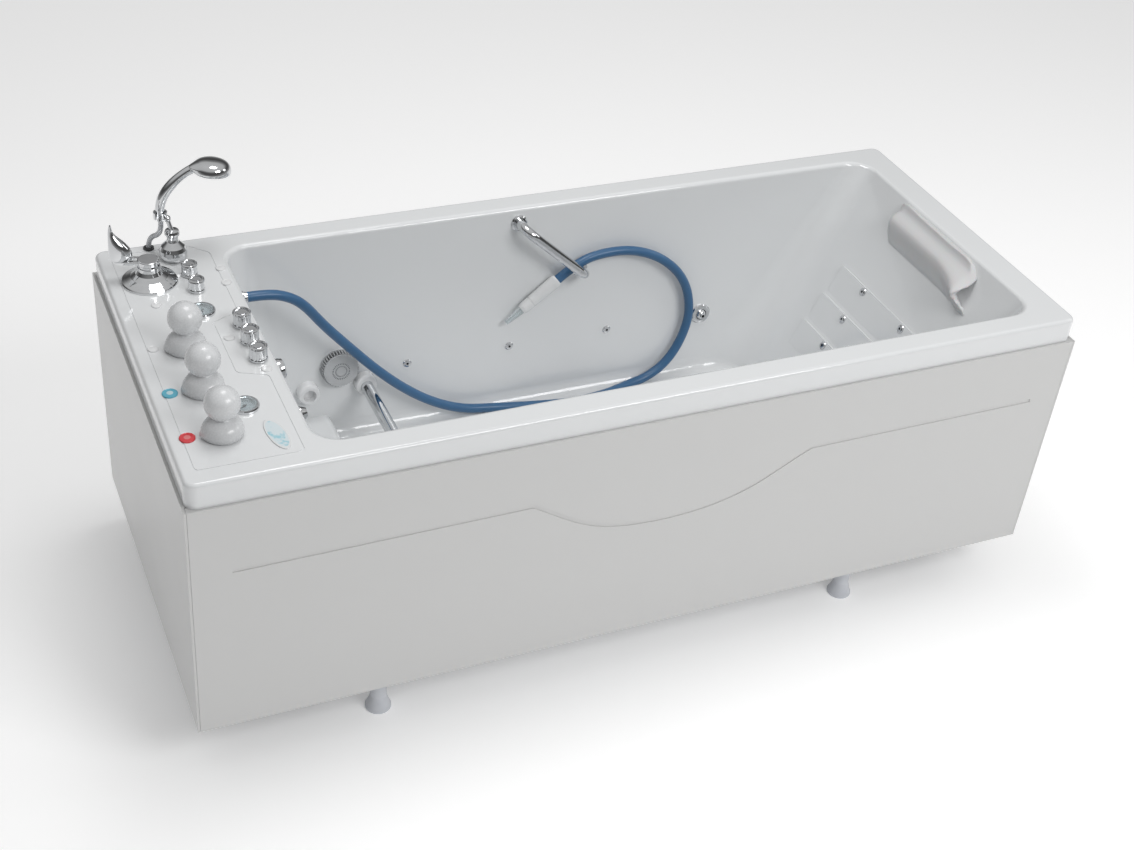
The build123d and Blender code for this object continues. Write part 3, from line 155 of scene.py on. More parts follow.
class Finish:
    # a principled material and short calls that hang patterns on it

    def __init__(self, name, colour, roughness, metallic=0.0):
        self.material = bpy.data.materials.new(name)
        self.material.use_nodes = True
        self.tree = self.material.node_tree
        self.shader = self.tree.nodes["Principled BSDF"]
        self.set("Base Color", (*colour, 1.0))
        self.set("Roughness", roughness)
        self.set("Metallic", metallic)
        self.colour = colour
        self.normal = None
        self.where = self.tree.nodes.new("ShaderNodeTexCoord").outputs["Object"]

    def set(self, socket, value):
        self.shader.inputs[socket].default_value = value
        return self

    def node(self, kind, links=(), **values):
        made = self.tree.nodes.new(kind)
        for key, value in values.items():
            setattr(made, key, value)
        for socket, source in dict(links).items():
            if hasattr(source, "links"):
                self.tree.links.new(source, made.inputs[socket])
            else:
                made.inputs[socket].default_value = source
        return made

    def stretched(self, scale, turn=(0, 0, 0)):
        # the piece's own coordinates, drawn out along an axis
        made = self.node("ShaderNodeMapping", {"Vector": self.where})
        made.inputs["Scale"].default_value = scale
        made.inputs["Rotation"].default_value = turn
        return made.outputs["Vector"]

    def noise(self, scale, detail=3.0, where=None, rough=0.5):
        made = self.node("ShaderNodeTexNoise", {"Vector": where or self.where, "Scale": scale,
                                                "Detail": detail, "Roughness": rough})
        return made.outputs["Fac"]

    def cells(self, scale, where=None, feature="F1"):
        made = self.node("ShaderNodeTexVoronoi", {"Vector": where or self.where, "Scale": scale},
                         feature=feature)
        return made.outputs["Distance"]

    def ranged(self, source, low, high, newLow, newHigh):
        # straight line from low..high to newLow..newHigh, held at both ends
        made = self.node("ShaderNodeMapRange", {"Value": source, "From Min": low, "From Max": high,
                                                "To Min": newLow, "To Max": newHigh})
        return made.outputs["Result"]

    def mixed(self, factor, first, second):
        made = self.node("ShaderNodeMix", data_type="RGBA")
        for socket, source in ((0, factor), (6, first), (7, second)):
            if hasattr(source, "links"):
                self.tree.links.new(source, made.inputs[socket])
            else:
                made.inputs[socket].default_value = source if socket == 0 else (*source, 1.0)
        return made.outputs[2]

    def around(self, centre, turn=0.0, scale=(1.0, 1.0), mirror=None, second="Y"):
        # distance from an axis through a centre, upright or along Y, and the angle round it; with
        # "mirror" the pattern repeats at that distance on the other side of the centre along Y
        centred = self.node("ShaderNodeMapping", {"Vector": self.where})
        back = Matrix.Rotation(-math.radians(turn), 3, "Z")
        centred.inputs["Rotation"].default_value = (0, 0, -math.radians(turn))
        centred.inputs["Location"].default_value = -(back @ Vector(centre))
        parts = self.node("ShaderNodeSeparateXYZ", {"Vector": centred.outputs["Vector"]}).outputs
        across = parts[second]
        if mirror:
            folded = self.maths("ABSOLUTE", across)
            across = self.maths("SUBTRACT", folded, mirror)
        x, y = self.maths("MULTIPLY", parts["X"], scale[0]), self.maths("MULTIPLY", across, scale[1])
        far = self.maths("SQRT", self.maths("ADD", self.maths("MULTIPLY", x, x), self.maths("MULTIPLY", y, y)))
        return far, self.maths("ARCTAN2", y, x)

    def maths(self, operation, first, second=0.0):
        return self.node("ShaderNodeMath", {0: first, 1: second}, operation=operation).outputs["Value"]

    def between(self, source, low, high, edge):
        # 1 inside low..high, 0 outside, with soft edges
        up = self.ranged(source, low - edge, low + edge, 0, 1)
        return self.maths("MULTIPLY", up, self.ranged(source, high - edge, high + edge, 1, 0))

    def painted(self, factor, colour):
        # a colour laid over whatever the base colour is so far
        base = self.shader.inputs["Base Color"]
        under = base.links[0].from_socket if base.links else self.colour
        self.tree.links.new(self.mixed(factor, under, colour), base)
        return self

    def tinted(self, factor, other):
        # base colour wanders from its own value to another one
        self.tree.links.new(self.mixed(factor, self.colour, other), self.shader.inputs["Base Color"])
        return self

    def roughened(self, source, low, high, newLow, newHigh):
        spread = self.ranged(source, low, high, newLow, newHigh)
        self.tree.links.new(spread, self.shader.inputs["Roughness"])
        return self

    def bumped(self, height, strength, distance):
        # each call adds a layer of relief over the last one
        links = {"Height": height, "Strength": strength, "Distance": distance}
        if self.normal is not None:
            links["Normal"] = self.normal
        self.normal = self.node("ShaderNodeBump", links).outputs["Normal"]
        self.tree.links.new(self.normal, self.shader.inputs["Normal"])
        return self

    def edgeWear(self, radius, colour, share):
        # paler or darker along sharp edges, from the bevelled normal against the real one
        soft = self.node("ShaderNodeBevel", {"Radius": radius}, samples=4).outputs["Normal"]
        plain = self.node("ShaderNodeNewGeometry").outputs["Normal"]
        dot = self.node("ShaderNodeVectorMath", {0: soft, 1: plain}, operation="DOT_PRODUCT").outputs["Value"]
        worn = self.ranged(dot, 0.98, 0.80, 0.0, share)
        base = self.shader.inputs["Base Color"]
        under = base.links[0].from_socket if base.links else self.colour
        self.tree.links.new(self.mixed(worn, under, colour), base)
        return self


# Finishes, one function each


def glossAcrylic():
    look = Finish("glossAcrylic", (0.755, 0.768, 0.775), 0.12)
    look.tinted(look.ranged(look.noise(1.7, 2), 0.35, 0.7, 0, 0.5), (0.735, 0.745, 0.755))
    look.roughened(look.noise(55, 4), 0.3, 0.7, 0.08, 0.16)
    look.set("Coat Weight", 0.4).set("Coat Roughness", 0.05)
    look.bumped(look.noise(6, 1), 0.03, 0.002)
    look.bumped(look.noise(420, 2), 0.03, 0.0003)
    return look.material


def apronSheet():
    look = Finish("apronSheet", (0.61, 0.61, 0.605), 0.3)
    look.tinted(look.ranged(look.noise(0.9, 1, look.stretched((1, 1, 0.4))), 0.0, 1.0, 0, 0.5),
                (0.60, 0.60, 0.594))
    look.roughened(look.noise(5, 2), 0.0, 1.0, 0.27, 0.37)
    look.set("Coat Weight", 0.25).set("Coat Roughness", 0.18)
    look.bumped(look.noise(3, 1), 0.03, 0.002)
    look.bumped(look.noise(700, 2), 0.04, 0.0002)
    return look.material


def polishedChrome():
    look = Finish("polishedChrome", (0.70, 0.71, 0.72), 0.05, 1.0)
    look.tinted(look.ranged(look.noise(40, 3), 0.4, 0.8, 0, 0.5), (0.60, 0.61, 0.63))
    look.roughened(look.noise(160, 5), 0.35, 0.75, 0.03, 0.09)
    look.bumped(look.noise(900, 2, look.stretched((1, 1, 0.15))), 0.02, 0.0001)
    return look.material


def turnedSteel():
    look = Finish("turnedSteel", (0.60, 0.61, 0.62), 0.3, 1.0)
    look.tinted(look.noise(25, 4), (0.50, 0.50, 0.51))
    look.roughened(look.noise(700, 3, look.stretched((1, 1, 0.05))), 0.3, 0.7, 0.22, 0.42)
    look.bumped(look.noise(900, 2, look.stretched((1, 1, 0.08))), 0.12, 0.0002)
    return look.material


def framePaint():
    look = Finish("framePaint", (0.36, 0.37, 0.39), 0.45)
    look.tinted(look.ranged(look.noise(12, 5), 0.35, 0.75, 0, 0.7), (0.28, 0.285, 0.30))
    look.roughened(look.noise(90, 4), 0.3, 0.7, 0.36, 0.56)
    look.bumped(look.noise(380, 3), 0.15, 0.0004)
    look.edgeWear(0.0015, (0.55, 0.55, 0.56), 0.5)
    return look.material


def footPlastic():
    look = Finish("footPlastic", (0.66, 0.68, 0.72), 0.36)
    look.tinted(look.ranged(look.noise(30, 4), 0.35, 0.75, 0, 0.7), (0.58, 0.60, 0.65))
    look.roughened(look.noise(220, 3), 0.3, 0.7, 0.3, 0.5)
    look.bumped(look.noise(800, 2), 0.12, 0.0002)
    return look.material


def satinHandle():
    look = Finish("satinHandle", (0.68, 0.69, 0.70), 0.26)
    look.tinted(look.ranged(look.noise(22, 3), 0.35, 0.7, 0, 0.5), (0.65, 0.66, 0.67))
    look.roughened(look.noise(240, 4), 0.3, 0.7, 0.2, 0.34)
    look.set("Coat Weight", 0.3).set("Coat Roughness", 0.12)
    look.bumped(look.noise(700, 3), 0.05, 0.0002)
    return look.material


def glossWhite():
    look = Finish("glossWhite", (0.76, 0.765, 0.77), 0.16)
    look.tinted(look.ranged(look.noise(28, 3), 0.35, 0.7, 0, 0.6), (0.72, 0.73, 0.735))
    look.roughened(look.noise(260, 4), 0.3, 0.7, 0.12, 0.24)
    look.set("Coat Weight", 0.3).set("Coat Roughness", 0.07)
    look.bumped(look.noise(650, 2), 0.05, 0.0002)
    return look.material


def mouldedGrey():
    look = Finish("mouldedGrey", (0.46, 0.47, 0.48), 0.4)
    look.tinted(look.ranged(look.noise(60, 4), 0.35, 0.75, 0, 0.7), (0.35, 0.37, 0.39))
    look.roughened(look.noise(300, 3), 0.3, 0.7, 0.32, 0.5)
    look.bumped(look.cells(1400), 0.12, 0.0001)
    return look.material


def grilleFace():
    look = Finish("grilleFace", (0.50, 0.51, 0.52), 0.35)
    look.tinted(look.ranged(look.noise(60, 4), 0.35, 0.75, 0, 0.7), (0.44, 0.45, 0.46))
    far, angle = look.around((-0.499, 0.0, 0.431), second="Z")
    rays = look.ranged(look.maths("COSINE", look.maths("MULTIPLY", angle, 30.0)), 0.0, 0.3, 0, 1)
    rings = look.ranged(look.maths("COSINE", look.maths("MULTIPLY", far, 900.0)), -0.3, 0.0, 0, 1)
    band = look.between(far, 0.009, 0.026, 0.0005)
    # painted shade: near-black dashes where rays, rings and band meet stand for the dark inside of the
    # grille's slots, and the bump presses them in
    paintedSlotShade = look.maths("MULTIPLY", look.maths("MULTIPLY", rays, rings), band)
    look.painted(paintedSlotShade, (0.10, 0.11, 0.12))
    look.roughened(look.noise(300, 3), 0.3, 0.7, 0.26, 0.44)
    look.bumped(paintedSlotShade, 0.6, -0.0008)
    look.bumped(look.noise(600, 2), 0.08, 0.0001)
    return look.material


def hoseBlue():
    look = Finish("hoseBlue", (0.032, 0.112, 0.235), 0.36)
    look.tinted(look.ranged(look.noise(16, 4), 0.3, 0.75, 0, 0.6), (0.042, 0.135, 0.27))
    look.roughened(look.noise(180, 4), 0.3, 0.7, 0.30, 0.44)
    look.set("Coat Weight", 0.15).set("Coat Roughness", 0.2).set("Subsurface Weight", 0.04)
    look.bumped(look.noise(90, 2), 0.12, 0.0006)
    return look.material


def showerTube():
    look = Finish("showerTube", (0.66, 0.67, 0.69), 0.2, 0.85)
    look.tinted(look.noise(60, 3), (0.56, 0.57, 0.59))
    look.roughened(look.noise(300, 3), 0.3, 0.7, 0.14, 0.3)
    rings = look.node("ShaderNodeTexWave", {"Vector": look.where, "Scale": 140.0}, bands_direction="Z")
    look.bumped(rings.outputs["Fac"], 0.5, 0.0006)
    return look.material


def blackRubber():
    look = Finish("blackRubber", (0.025, 0.025, 0.028), 0.6)
    look.tinted(look.noise(60, 4), (0.05, 0.05, 0.052))
    look.roughened(look.noise(300, 3), 0.3, 0.7, 0.5, 0.75)
    look.bumped(look.noise(900, 3), 0.2, 0.0002)
    return look.material


def softSkin():
    look = Finish("softSkin", (0.64, 0.64, 0.645), 0.42)
    look.tinted(look.ranged(look.noise(8, 4), 0.3, 0.75, 0, 0.7), (0.61, 0.61, 0.615))
    look.roughened(look.noise(70, 4), 0.3, 0.7, 0.34, 0.52)
    look.set("Sheen Weight", 0.12).set("Subsurface Weight", 0.08)
    look.bumped(look.cells(520), 0.10, 0.0003)
    look.bumped(look.noise(1500, 2), 0.08, 0.0001)
    return look.material


def clearPlastic():
    look = Finish("clearPlastic", (0.90, 0.94, 0.95), 0.05)
    look.set("Transmission Weight", 0.85).set("IOR", 1.46)
    look.tinted(look.noise(40, 3), (0.82, 0.88, 0.90))
    look.roughened(look.noise(260, 3), 0.35, 0.75, 0.03, 0.12)
    look.bumped(look.noise(500, 2), 0.03, 0.0001)
    return look.material


def dialPrint():
    look = Finish("dialPrint", (0.76, 0.80, 0.83), 0.35)
    look.tinted(look.noise(90, 3), (0.70, 0.75, 0.79))
    far, angle = look.around((-0.872, -0.0455, 0.0), mirror=0.1805)
    ticks = look.ranged(look.maths("COSINE", look.maths("MULTIPLY", angle, 24.0)), 0.55, 0.75, 0, 1)
    look.painted(look.maths("MULTIPLY", ticks, look.between(far, 0.0158, 0.0192, 0.0003)), (0.05, 0.06, 0.07))
    look.painted(look.between(far, 0.0198, 0.0206, 0.0002), (0.06, 0.07, 0.08))
    look.roughened(look.noise(400, 3), 0.3, 0.7, 0.28, 0.42)
    look.bumped(look.noise(900, 2), 0.04, 0.0001)
    return look.material


def needleBlackAndJetShade():
    # near-black of the gauge needles, also laid on the jet bowls as painted shade
    look = Finish("needleBlackAndJetShade", (0.03, 0.03, 0.034), 0.3)
    look.tinted(look.noise(120, 3), (0.05, 0.05, 0.055))
    look.roughened(look.noise(500, 3), 0.3, 0.7, 0.22, 0.4)
    look.bumped(look.noise(900, 2), 0.04, 0.0001)
    return look.material


def glossBlue():
    look = Finish("glossBlue", (0.08, 0.38, 0.52), 0.15)
    look.tinted(look.noise(80, 3), (0.12, 0.46, 0.58))
    look.roughened(look.noise(400, 3), 0.3, 0.7, 0.1, 0.22)
    far = look.around((-1.003, -0.142, 0.0))[0]
    look.painted(look.ranged(far, 0.0062, 0.0072, 1, 0), (0.50, 0.66, 0.70))
    look.set("Coat Weight", 0.6)
    look.bumped(look.noise(700, 2), 0.04, 0.0001)
    return look.material


def glossRed():
    look = Finish("glossRed", (0.60, 0.02, 0.03), 0.15)
    look.tinted(look.noise(80, 3), (0.72, 0.05, 0.06))
    far = look.around((-1.004, -0.296, 0.0))[0]
    look.painted(look.ranged(far, 0.0060, 0.0072, 1, 0), (0.70, 0.20, 0.20))
    look.roughened(look.noise(400, 3), 0.3, 0.7, 0.1, 0.22)
    look.set("Coat Weight", 0.6)
    look.bumped(look.noise(700, 2), 0.04, 0.0001)
    return look.material


def aquaPlate():
    look = Finish("aquaPlate", (0.66, 0.74, 0.77), 0.18)
    look.tinted(look.ranged(look.noise(70, 2), 0.54, 0.66, 0, 1), (0.36, 0.62, 0.70))
    far = look.around((-0.836, -0.334, 0.0), turn=98, scale=(19.2, 52.6))[0]
    look.painted(look.ranged(far, 0.84, 0.88, 0, 1), (0.74, 0.75, 0.755))
    look.roughened(look.noise(300, 3), 0.3, 0.7, 0.12, 0.26)
    look.set("Coat Weight", 0.5)
    look.bumped(look.noise(500, 2), 0.04, 0.0001)
    return look.material


def pumpEnamel():
    look = Finish("pumpEnamel", (0.10, 0.15, 0.23), 0.4)
    look.tinted(look.ranged(look.noise(18, 5), 0.35, 0.75, 0, 0.7), (0.06, 0.09, 0.15))
    look.roughened(look.noise(140, 4), 0.3, 0.7, 0.3, 0.52)
    look.bumped(look.noise(320, 3), 0.2, 0.0005)
    look.edgeWear(0.0015, (0.30, 0.32, 0.35), 0.6)
    return look.material


def pipePlastic():
    look = Finish("pipePlastic", (0.66, 0.665, 0.655), 0.4)
    look.tinted(look.ranged(look.noise(14, 4), 0.35, 0.75, 0, 0.7), (0.58, 0.585, 0.57))
    look.roughened(look.noise(160, 3), 0.3, 0.7, 0.32, 0.5)
    look.bumped(look.noise(500, 2), 0.08, 0.0003)
    return look.material


def castBrass():
    look = Finish("castBrass", (0.55, 0.40, 0.16), 0.35, 1.0)
    look.tinted(look.noise(35, 4), (0.42, 0.29, 0.11))
    look.roughened(look.noise(240, 4), 0.3, 0.7, 0.25, 0.5)
    look.bumped(look.noise(450, 3), 0.25, 0.0004)
    return look.material


finishOfSlot = {
    "acrylic": glossAcrylic(), "apron": apronSheet(), "frame_steel": framePaint(),
    "zinc_steel": turnedSteel(), "foot_plastic": footPlastic(), "chrome": polishedChrome(),
    "handle_plastic": satinHandle(), "white_plastic": glossWhite(), "grey_plastic": mouldedGrey(),
    "blue_hose": hoseBlue(), "shower_tube": showerTube(), "rubber": blackRubber(),
    "soft_foam": softSkin(), "clear": clearPlastic(), "dial": dialPrint(), "needle": needleBlackAndJetShade(),
    "blue": glossBlue(), "red": glossRed(), "badge": aquaPlate(), "pump_paint": pumpEnamel(),
    "pipe_plastic": pipePlastic(), "brass_body": castBrass(),
}


def dressSolids():
    # every solid takes the finish of its slot in the record
    for part in frame["record"]["subparts"]:
        for place in nodes[part["node"]].material_slots:
            place.material = finishOfSlot[part["material_slot"]]


dressSolids()
for place in nodes["suction_grille"].material_slots:
    place.material = grilleFace()
print("solids are dressed")

# Hoses, first of the pieces

massageHose = {
    "diameter": 0.024,
    "route": [
        (-0.742, 0.262, 0.727), (-0.694, 0.262, 0.727), (-0.648, 0.264, 0.712), (-0.608, 0.269, 0.681),
        (-0.556, 0.281, 0.604), (-0.494, 0.290, 0.528), (-0.425, 0.297, 0.446), (-0.352, 0.300, 0.372),
        (-0.270, 0.302, 0.308), (-0.180, 0.306, 0.262), (-0.085, 0.303, 0.2505), (0.010, 0.282, 0.2505),
        (0.110, 0.266, 0.2505), (0.210, 0.274, 0.2505), (0.290, 0.298, 0.2505), (0.352, 0.306, 0.258),
        (0.408, 0.313, 0.292), (0.446, 0.319, 0.352), (0.466, 0.325, 0.432), (0.443, 0.333, 0.530),
        (0.374, 0.340, 0.604), (0.285, 0.345, 0.643), (0.198, 0.346, 0.647), (0.127, 0.344, 0.631),
        (0.072, 0.341, 0.590)],
}
showerHose = {
    "diameter": 0.012,
    "route": [
        (-0.899, 0.390, 0.878), (-0.899, 0.390, 0.856), (-0.906, 0.399, 0.837), (-0.917, 0.414, 0.826),
        (-0.924, 0.423, 0.806), (-0.924, 0.423, 0.770), (-0.9244, 0.4233, 0.715),
        (-0.9244, 0.4233, 0.660)],
    "store": [
        (-0.9244, 0.4233, 0.660), (-0.9244, 0.4233, 0.575), (-0.925, 0.423, 0.504),
        (-0.926, 0.423, 0.432), (-0.931, 0.405, 0.400), (-0.936, 0.374, 0.382),
        (-0.941, 0.337, 0.382), (-0.946, 0.306, 0.400), (-0.950, 0.288, 0.432),
        (-0.951, 0.2874, 0.503), (-0.951, 0.287, 0.598), (-0.951, 0.287, 0.690)],
}


def makeHose(name, route, diameter, material, body):
    # a round section carried along a smooth spline whose control points are the route
    curve = bpy.data.curves.new(name, "CURVE")
    curve.dimensions = "3D"
    spline = curve.splines.new("NURBS")
    spline.points.add(len(route) - 1)
    spline.points.foreach_set("co", np.c_[np.array(route), np.ones(len(route))].ravel())
    spline.order_u = 3
    spline.use_endpoint_u = True
    spline.resolution_u = 14
    curve.bevel_depth = diameter / 2
    curve.bevel_resolution = 7
    curve.use_fill_caps = True
    curve.materials.append(material)
    hose = bpy.data.objects.new(name, curve)
    bpy.context.scene.collection.objects.link(hose)
    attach(hose, body)
    return hose


def routeLength(hose):
    # sum of the steps along the spline itself, with no section on it
    curve = hose.data.copy()
    curve.bevel_depth = 0.0
    bare = bpy.data.objects.new("bareRoute", curve)
    mesh = bpy.data.meshes.new_from_object(bare)
    places = np.empty(len(mesh.vertices) * 3)
    mesh.vertices.foreach_get("co", places)
    places = places.reshape(-1, 3)
    bpy.data.objects.remove(bare)
    bpy.data.curves.remove(curve)
    bpy.data.meshes.remove(mesh)
    return float(np.linalg.norm(np.diff(places, axis=0), axis=1).sum())


def makeHoses():
    blue = makeHose("massageHoseTube", massageHose["route"], massageHose["diameter"],
                    finishOfSlot["blue_hose"], "tub")
    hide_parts("massage_hose")
    routeLength(blue)
    short = makeHose("showerHoseTube", showerHose["route"], showerHose["diameter"],
                     finishOfSlot["shower_tube"], "hand_shower")
    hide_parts("shower_hose")
    routeLength(short)
    store = makeHose("showerHoseLoop", showerHose["store"], showerHose["diameter"],
                     finishOfSlot["shower_tube"], "tub")
    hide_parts("shower_hose_store")
    routeLength(store)


makeHoses()
print("hoses are laid")

# Mesh helpers


def gridMesh(name, points, closeU=False, closeV=False, caps=()):
    # points is rows x columns x 3; quads join neighbours, and a cap fans a whole row to its own middle
    rows, columns = points.shape[:2]
    u, v = np.meshgrid(np.arange(rows if closeU else rows - 1), np.arange(columns if closeV else columns - 1),
                       indexing="ij")
    nextU, nextV = (u + 1) % rows, (v + 1) % columns
    quads = np.stack([u * columns + v, nextU * columns + v, nextU * columns + nextV, u * columns + nextV], -1)
    faces = quads.reshape(-1, 4).tolist()
    places = points.reshape(-1, 3)
    for row in caps:
        ring = np.arange(columns) + row * columns
        following = np.roll(ring, -1)
        middle = np.full(columns, len(places))
        fan = np.stack([following, ring, middle] if row == 0 else [ring, following, middle], -1)
        faces += fan.tolist()
        places = np.vstack([places, points[row].mean(0)])
    mesh = bpy.data.meshes.new(name)
    mesh.from_pydata(places.tolist(), [], faces)
    mesh.shade_smooth()
    piece = bpy.data.objects.new(name, mesh)
    bpy.context.scene.collection.objects.link(piece)
    return piece


def tidyMesh(piece, distance=1e-5):
    # merges doubles, then turns every face outwards
    bpy.context.view_layer.objects.active = piece
    bpy.ops.object.select_all(action="DESELECT")
    piece.select_set(True)
    bpy.ops.object.mode_set(mode="EDIT")
    bpy.ops.mesh.select_all(action="SELECT")
    bpy.ops.mesh.remove_doubles(threshold=distance)
    bpy.ops.mesh.normals_make_consistent(inside=False)
    bpy.ops.object.mode_set(mode="OBJECT")


def applyModifiers(piece):
    # the evaluated mesh takes the place of the base mesh
    bpy.context.view_layer.update()
    evaluated = piece.evaluated_get(bpy.context.evaluated_depsgraph_get())
    mesh = bpy.data.meshes.new_from_object(evaluated)
    piece.modifiers.clear()
    piece.data = mesh
    return piece


def meshPoints(mesh):
    places = np.empty(len(mesh.vertices) * 3, np.float32)
    mesh.vertices.foreach_get("co", places)
    return places.reshape(-1, 3)


def wears(piece, slot, body, replaced=None):
    # finish, body and slot of a new piece, and the solid whose place it takes
    piece.data.materials.clear()
    piece.data.materials.append(finishOfSlot[slot])
    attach(piece, body)
    if replaced:
        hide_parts(replaced)


# Headrest

headrest = {
    "lip": (0.966, 0.0, 0.790),     # where the backrest meets the rim
    "slope": 31.0,
    # edges of the pad on the backrest: (distance down the slope, place across)
    "frontEdge": [(0.006, -0.126), (0.013, -0.158), (0.032, -0.187), (0.078, -0.210), (0.124, -0.224)],
    "backEdge": [(0.006, 0.150), (0.014, 0.169), (0.029, 0.167), (0.050, 0.165), (0.093, 0.156),
                 (0.112, 0.138), (0.124, 0.120)],
    "rows": 111,
    "top": 0.006,
    "length": 0.112,
    "longer": 0.010,                # extra length at the flared front end
    "crest": 0.50,                  # share of the way down where the arch stands highest
    "crestShift": 0.24,
    "arch": 0.027,
    "archFlare": 0.031,
    "valley": 0.009,                # height of the hollow just under the top edge
    "lipHeight": 0.011,
    "sheet": 0.050,
    "sheetFlare": 0.015,
    "lean": 0.55,
    "under": 0.004,                 # the skin dives this far before it is laid on the backrest
    "lift": 0.0008,                 # kept clear of the backrest
    "voxel": 0.004,
    "pressure": 4.0,
    "swell": 0.0020,
}


def slopePoint(across, down, out, look):
    # backrest coordinates to the tub's: across is Y, down runs along the slope, out leaves it square
    a = math.radians(look["slope"])
    x = look["lip"][0] - down * math.sin(a) - out * math.cos(a)
    z = look["lip"][2] - down * math.cos(a) + out * math.sin(a)
    return np.stack([x, across, z], -1)


def smoothStep(x):
    x = np.clip(x, 0, 1)
    return x * x * (3 - 2 * x)


def edgeAt(down, knots):
    # place across of an edge at each distance down the slope, through its knots
    at, across = np.array(knots).T
    return np.interp(down, at, across)


def headrestForm(look):
    # one closed loop (top skin down, under skin back up) at each place across, from the front end to
    # the back; the top skin is a low lip, a shallow valley, a broad crest and a soft fall; towards the
    # front end the crest grows and the under skin leaves the backrest, so the end is a rolled lip
    # round an arched hollow; the back end closes like a quarter ellipse
    along = np.sin(np.linspace(-0.5, 0.5, look["rows"]) * math.pi)[:, None]
    s = (0.5 - 0.5 * np.cos(math.pi * np.linspace(0, 1, 75)))[None, :]
    flare = np.clip((-along - 0.22) / 0.78, 0, 1) ** 1.5
    crestAt = look["crest"] + look["crestShift"] * flare
    crest = look["arch"] + look["archFlare"] * flare
    lip = look["lipHeight"] * np.sqrt(1 - (1 - np.clip(s / 0.045, 0, 1)) ** 2)
    lip = lip * (1 - smoothStep((s - 0.05) / 0.13))
    valley = look["valley"] * smoothStep((s - 0.02) / 0.12)
    rise = smoothStep((s - 0.17) / (crestAt - 0.17))
    fall = smoothStep((1 - s) / (1 - crestAt)) ** 1.05
    skin = np.maximum(lip, (valley + (crest - valley) * rise)) * fall
    back = 1 - np.clip((1 - along) / 0.13, 0, 1)
    low = look["under"]
    skin = (skin + low) * np.sqrt(1 - back ** 2) - low * (1 - 0.6 * smoothStep((1 - s) / 0.1))
    sheet = look["sheet"] + (look["sheetFlare"] - look["sheet"]) * flare ** 0.55
    under = np.maximum(skin - sheet, -2 * low + 0 * skin)
    front = 1 - np.clip((1 + along) / 0.08, 0, 1)
    middle = 0.5 * (skin + under)
    half = 0.5 * (skin - under) * np.sqrt(1 - front ** 2)
    out = np.concatenate([middle + half, (middle - half)[:, ::-1]], 1)
    down = look["top"] + (look["length"] + look["longer"] * flare) * np.concatenate([s, s[:, ::-1]], 1)
    share = 0.5 + 0.5 * along
    across = edgeAt(down, look["frontEdge"]) * (1 - share) + edgeAt(down, look["backEdge"]) * share
    # the rolled front end leans back over its hollow, more the lower it is on the slope
    lean = look["lean"] * np.clip((-along - 0.45) / 0.55, 0, 1) ** 2
    across = across + lean * np.maximum(out, 0) * np.clip((down - 0.04) / 0.08, 0, 1)
    return slopePoint(across, down, out, look)


def puffed(piece, look):
    # cloth with air in it, run from the same first frame each time; no point moves beyond "swell"
    remesh = piece.modifiers.new("evenSkin", "REMESH")
    remesh.mode = "VOXEL"
    remesh.voxel_size = look["voxel"]
    applyModifiers(piece)
    start = meshPoints(piece.data).copy()
    cloth = piece.modifiers.new("air", "CLOTH")
    cloth.settings.use_pressure = True
    cloth.settings.uniform_pressure_force = look["pressure"]
    cloth.settings.effector_weights.gravity = 0.0
    cloth.settings.quality = 5
    cloth.point_cache.frame_start = 1
    cloth.point_cache.frame_end = 20
    scene = bpy.context.scene
    for moment in range(1, 21):
        scene.frame_set(moment)
    applyModifiers(piece)
    scene.frame_set(1)
    step = meshPoints(piece.data) - start
    far = np.linalg.norm(step, axis=1, keepdims=True)
    held = start + step * np.minimum(1, look["swell"] / np.maximum(far, 1e-9))
    piece.data.vertices.foreach_set("co", held.ravel())
    piece.data.update()


def makeHeadrest(look):
    piece = gridMesh("headrestSkin", headrestForm(look), closeV=True,
                     caps=(0, look["rows"] - 1))
    tidyMesh(piece)
    puffed(piece, look)
    places = meshPoints(piece.data).copy()
    a = math.radians(look["slope"])
    normal = np.array([-math.cos(a), 0, math.sin(a)], np.float32)
    out = (places - np.array(look["lip"], np.float32)) @ normal
    places += np.maximum(look["lift"] - out, 0)[:, None] * normal   # nothing sinks into the backrest
    piece.data.vertices.foreach_set("co", places.ravel())
    piece.data.shade_smooth()
    smooth = piece.modifiers.new("soft", "SUBSURF")
    smooth.levels = smooth.render_levels = 1
    wears(piece, "soft_foam", "tub", "headrest_pad")
    return piece


makeHeadrest(headrest)
print("headrest is puffed")

# Diverter handles

valveHandle = {
    "x": -0.935,
    "rows": {"valve_handle_1": (0.005, "valve_1"), "valve_handle_2": (-0.150, "valve_2"),
             "valve_handle_3": (-0.305, "valve_3")},
    "deck": 0.790,
    "ballRadius": 0.036,
    "ballHeight": 0.077,
    "bell": [(0.0, 0.0004), (0.0320, 0.0006), (0.0368, 0.003), (0.0398, 0.009), (0.0410, 0.017),
             (0.0394, 0.026), (0.0342, 0.035), (0.0264, 0.042), (0.0195, 0.047), (0.0170, 0.050)],
    "nose": 0.0088,
    "noseTurn": 180.0,
    "noseWidth": 0.30,
}


def throughPoints(profile, count):
    # a smooth line through (radius, height) pairs: Catmull-Rom pieces, evenly many steps in each
    p = np.array(profile, float)
    p = np.vstack([2 * p[0] - p[1], p, 2 * p[-1] - p[-2]])
    t = np.linspace(0, len(profile) - 1, count)
    i = np.minimum(t.astype(int), len(profile) - 2)
    f = (t - i)[:, None]
    a, b, c, d = p[i], p[i + 1], p[i + 2], p[i + 3]
    return 0.5 * (2 * b + (c - a) * f + (2 * a - 5 * b + 4 * c - d) * f ** 2
                  + (3 * b - a - 3 * c + d) * f ** 3)


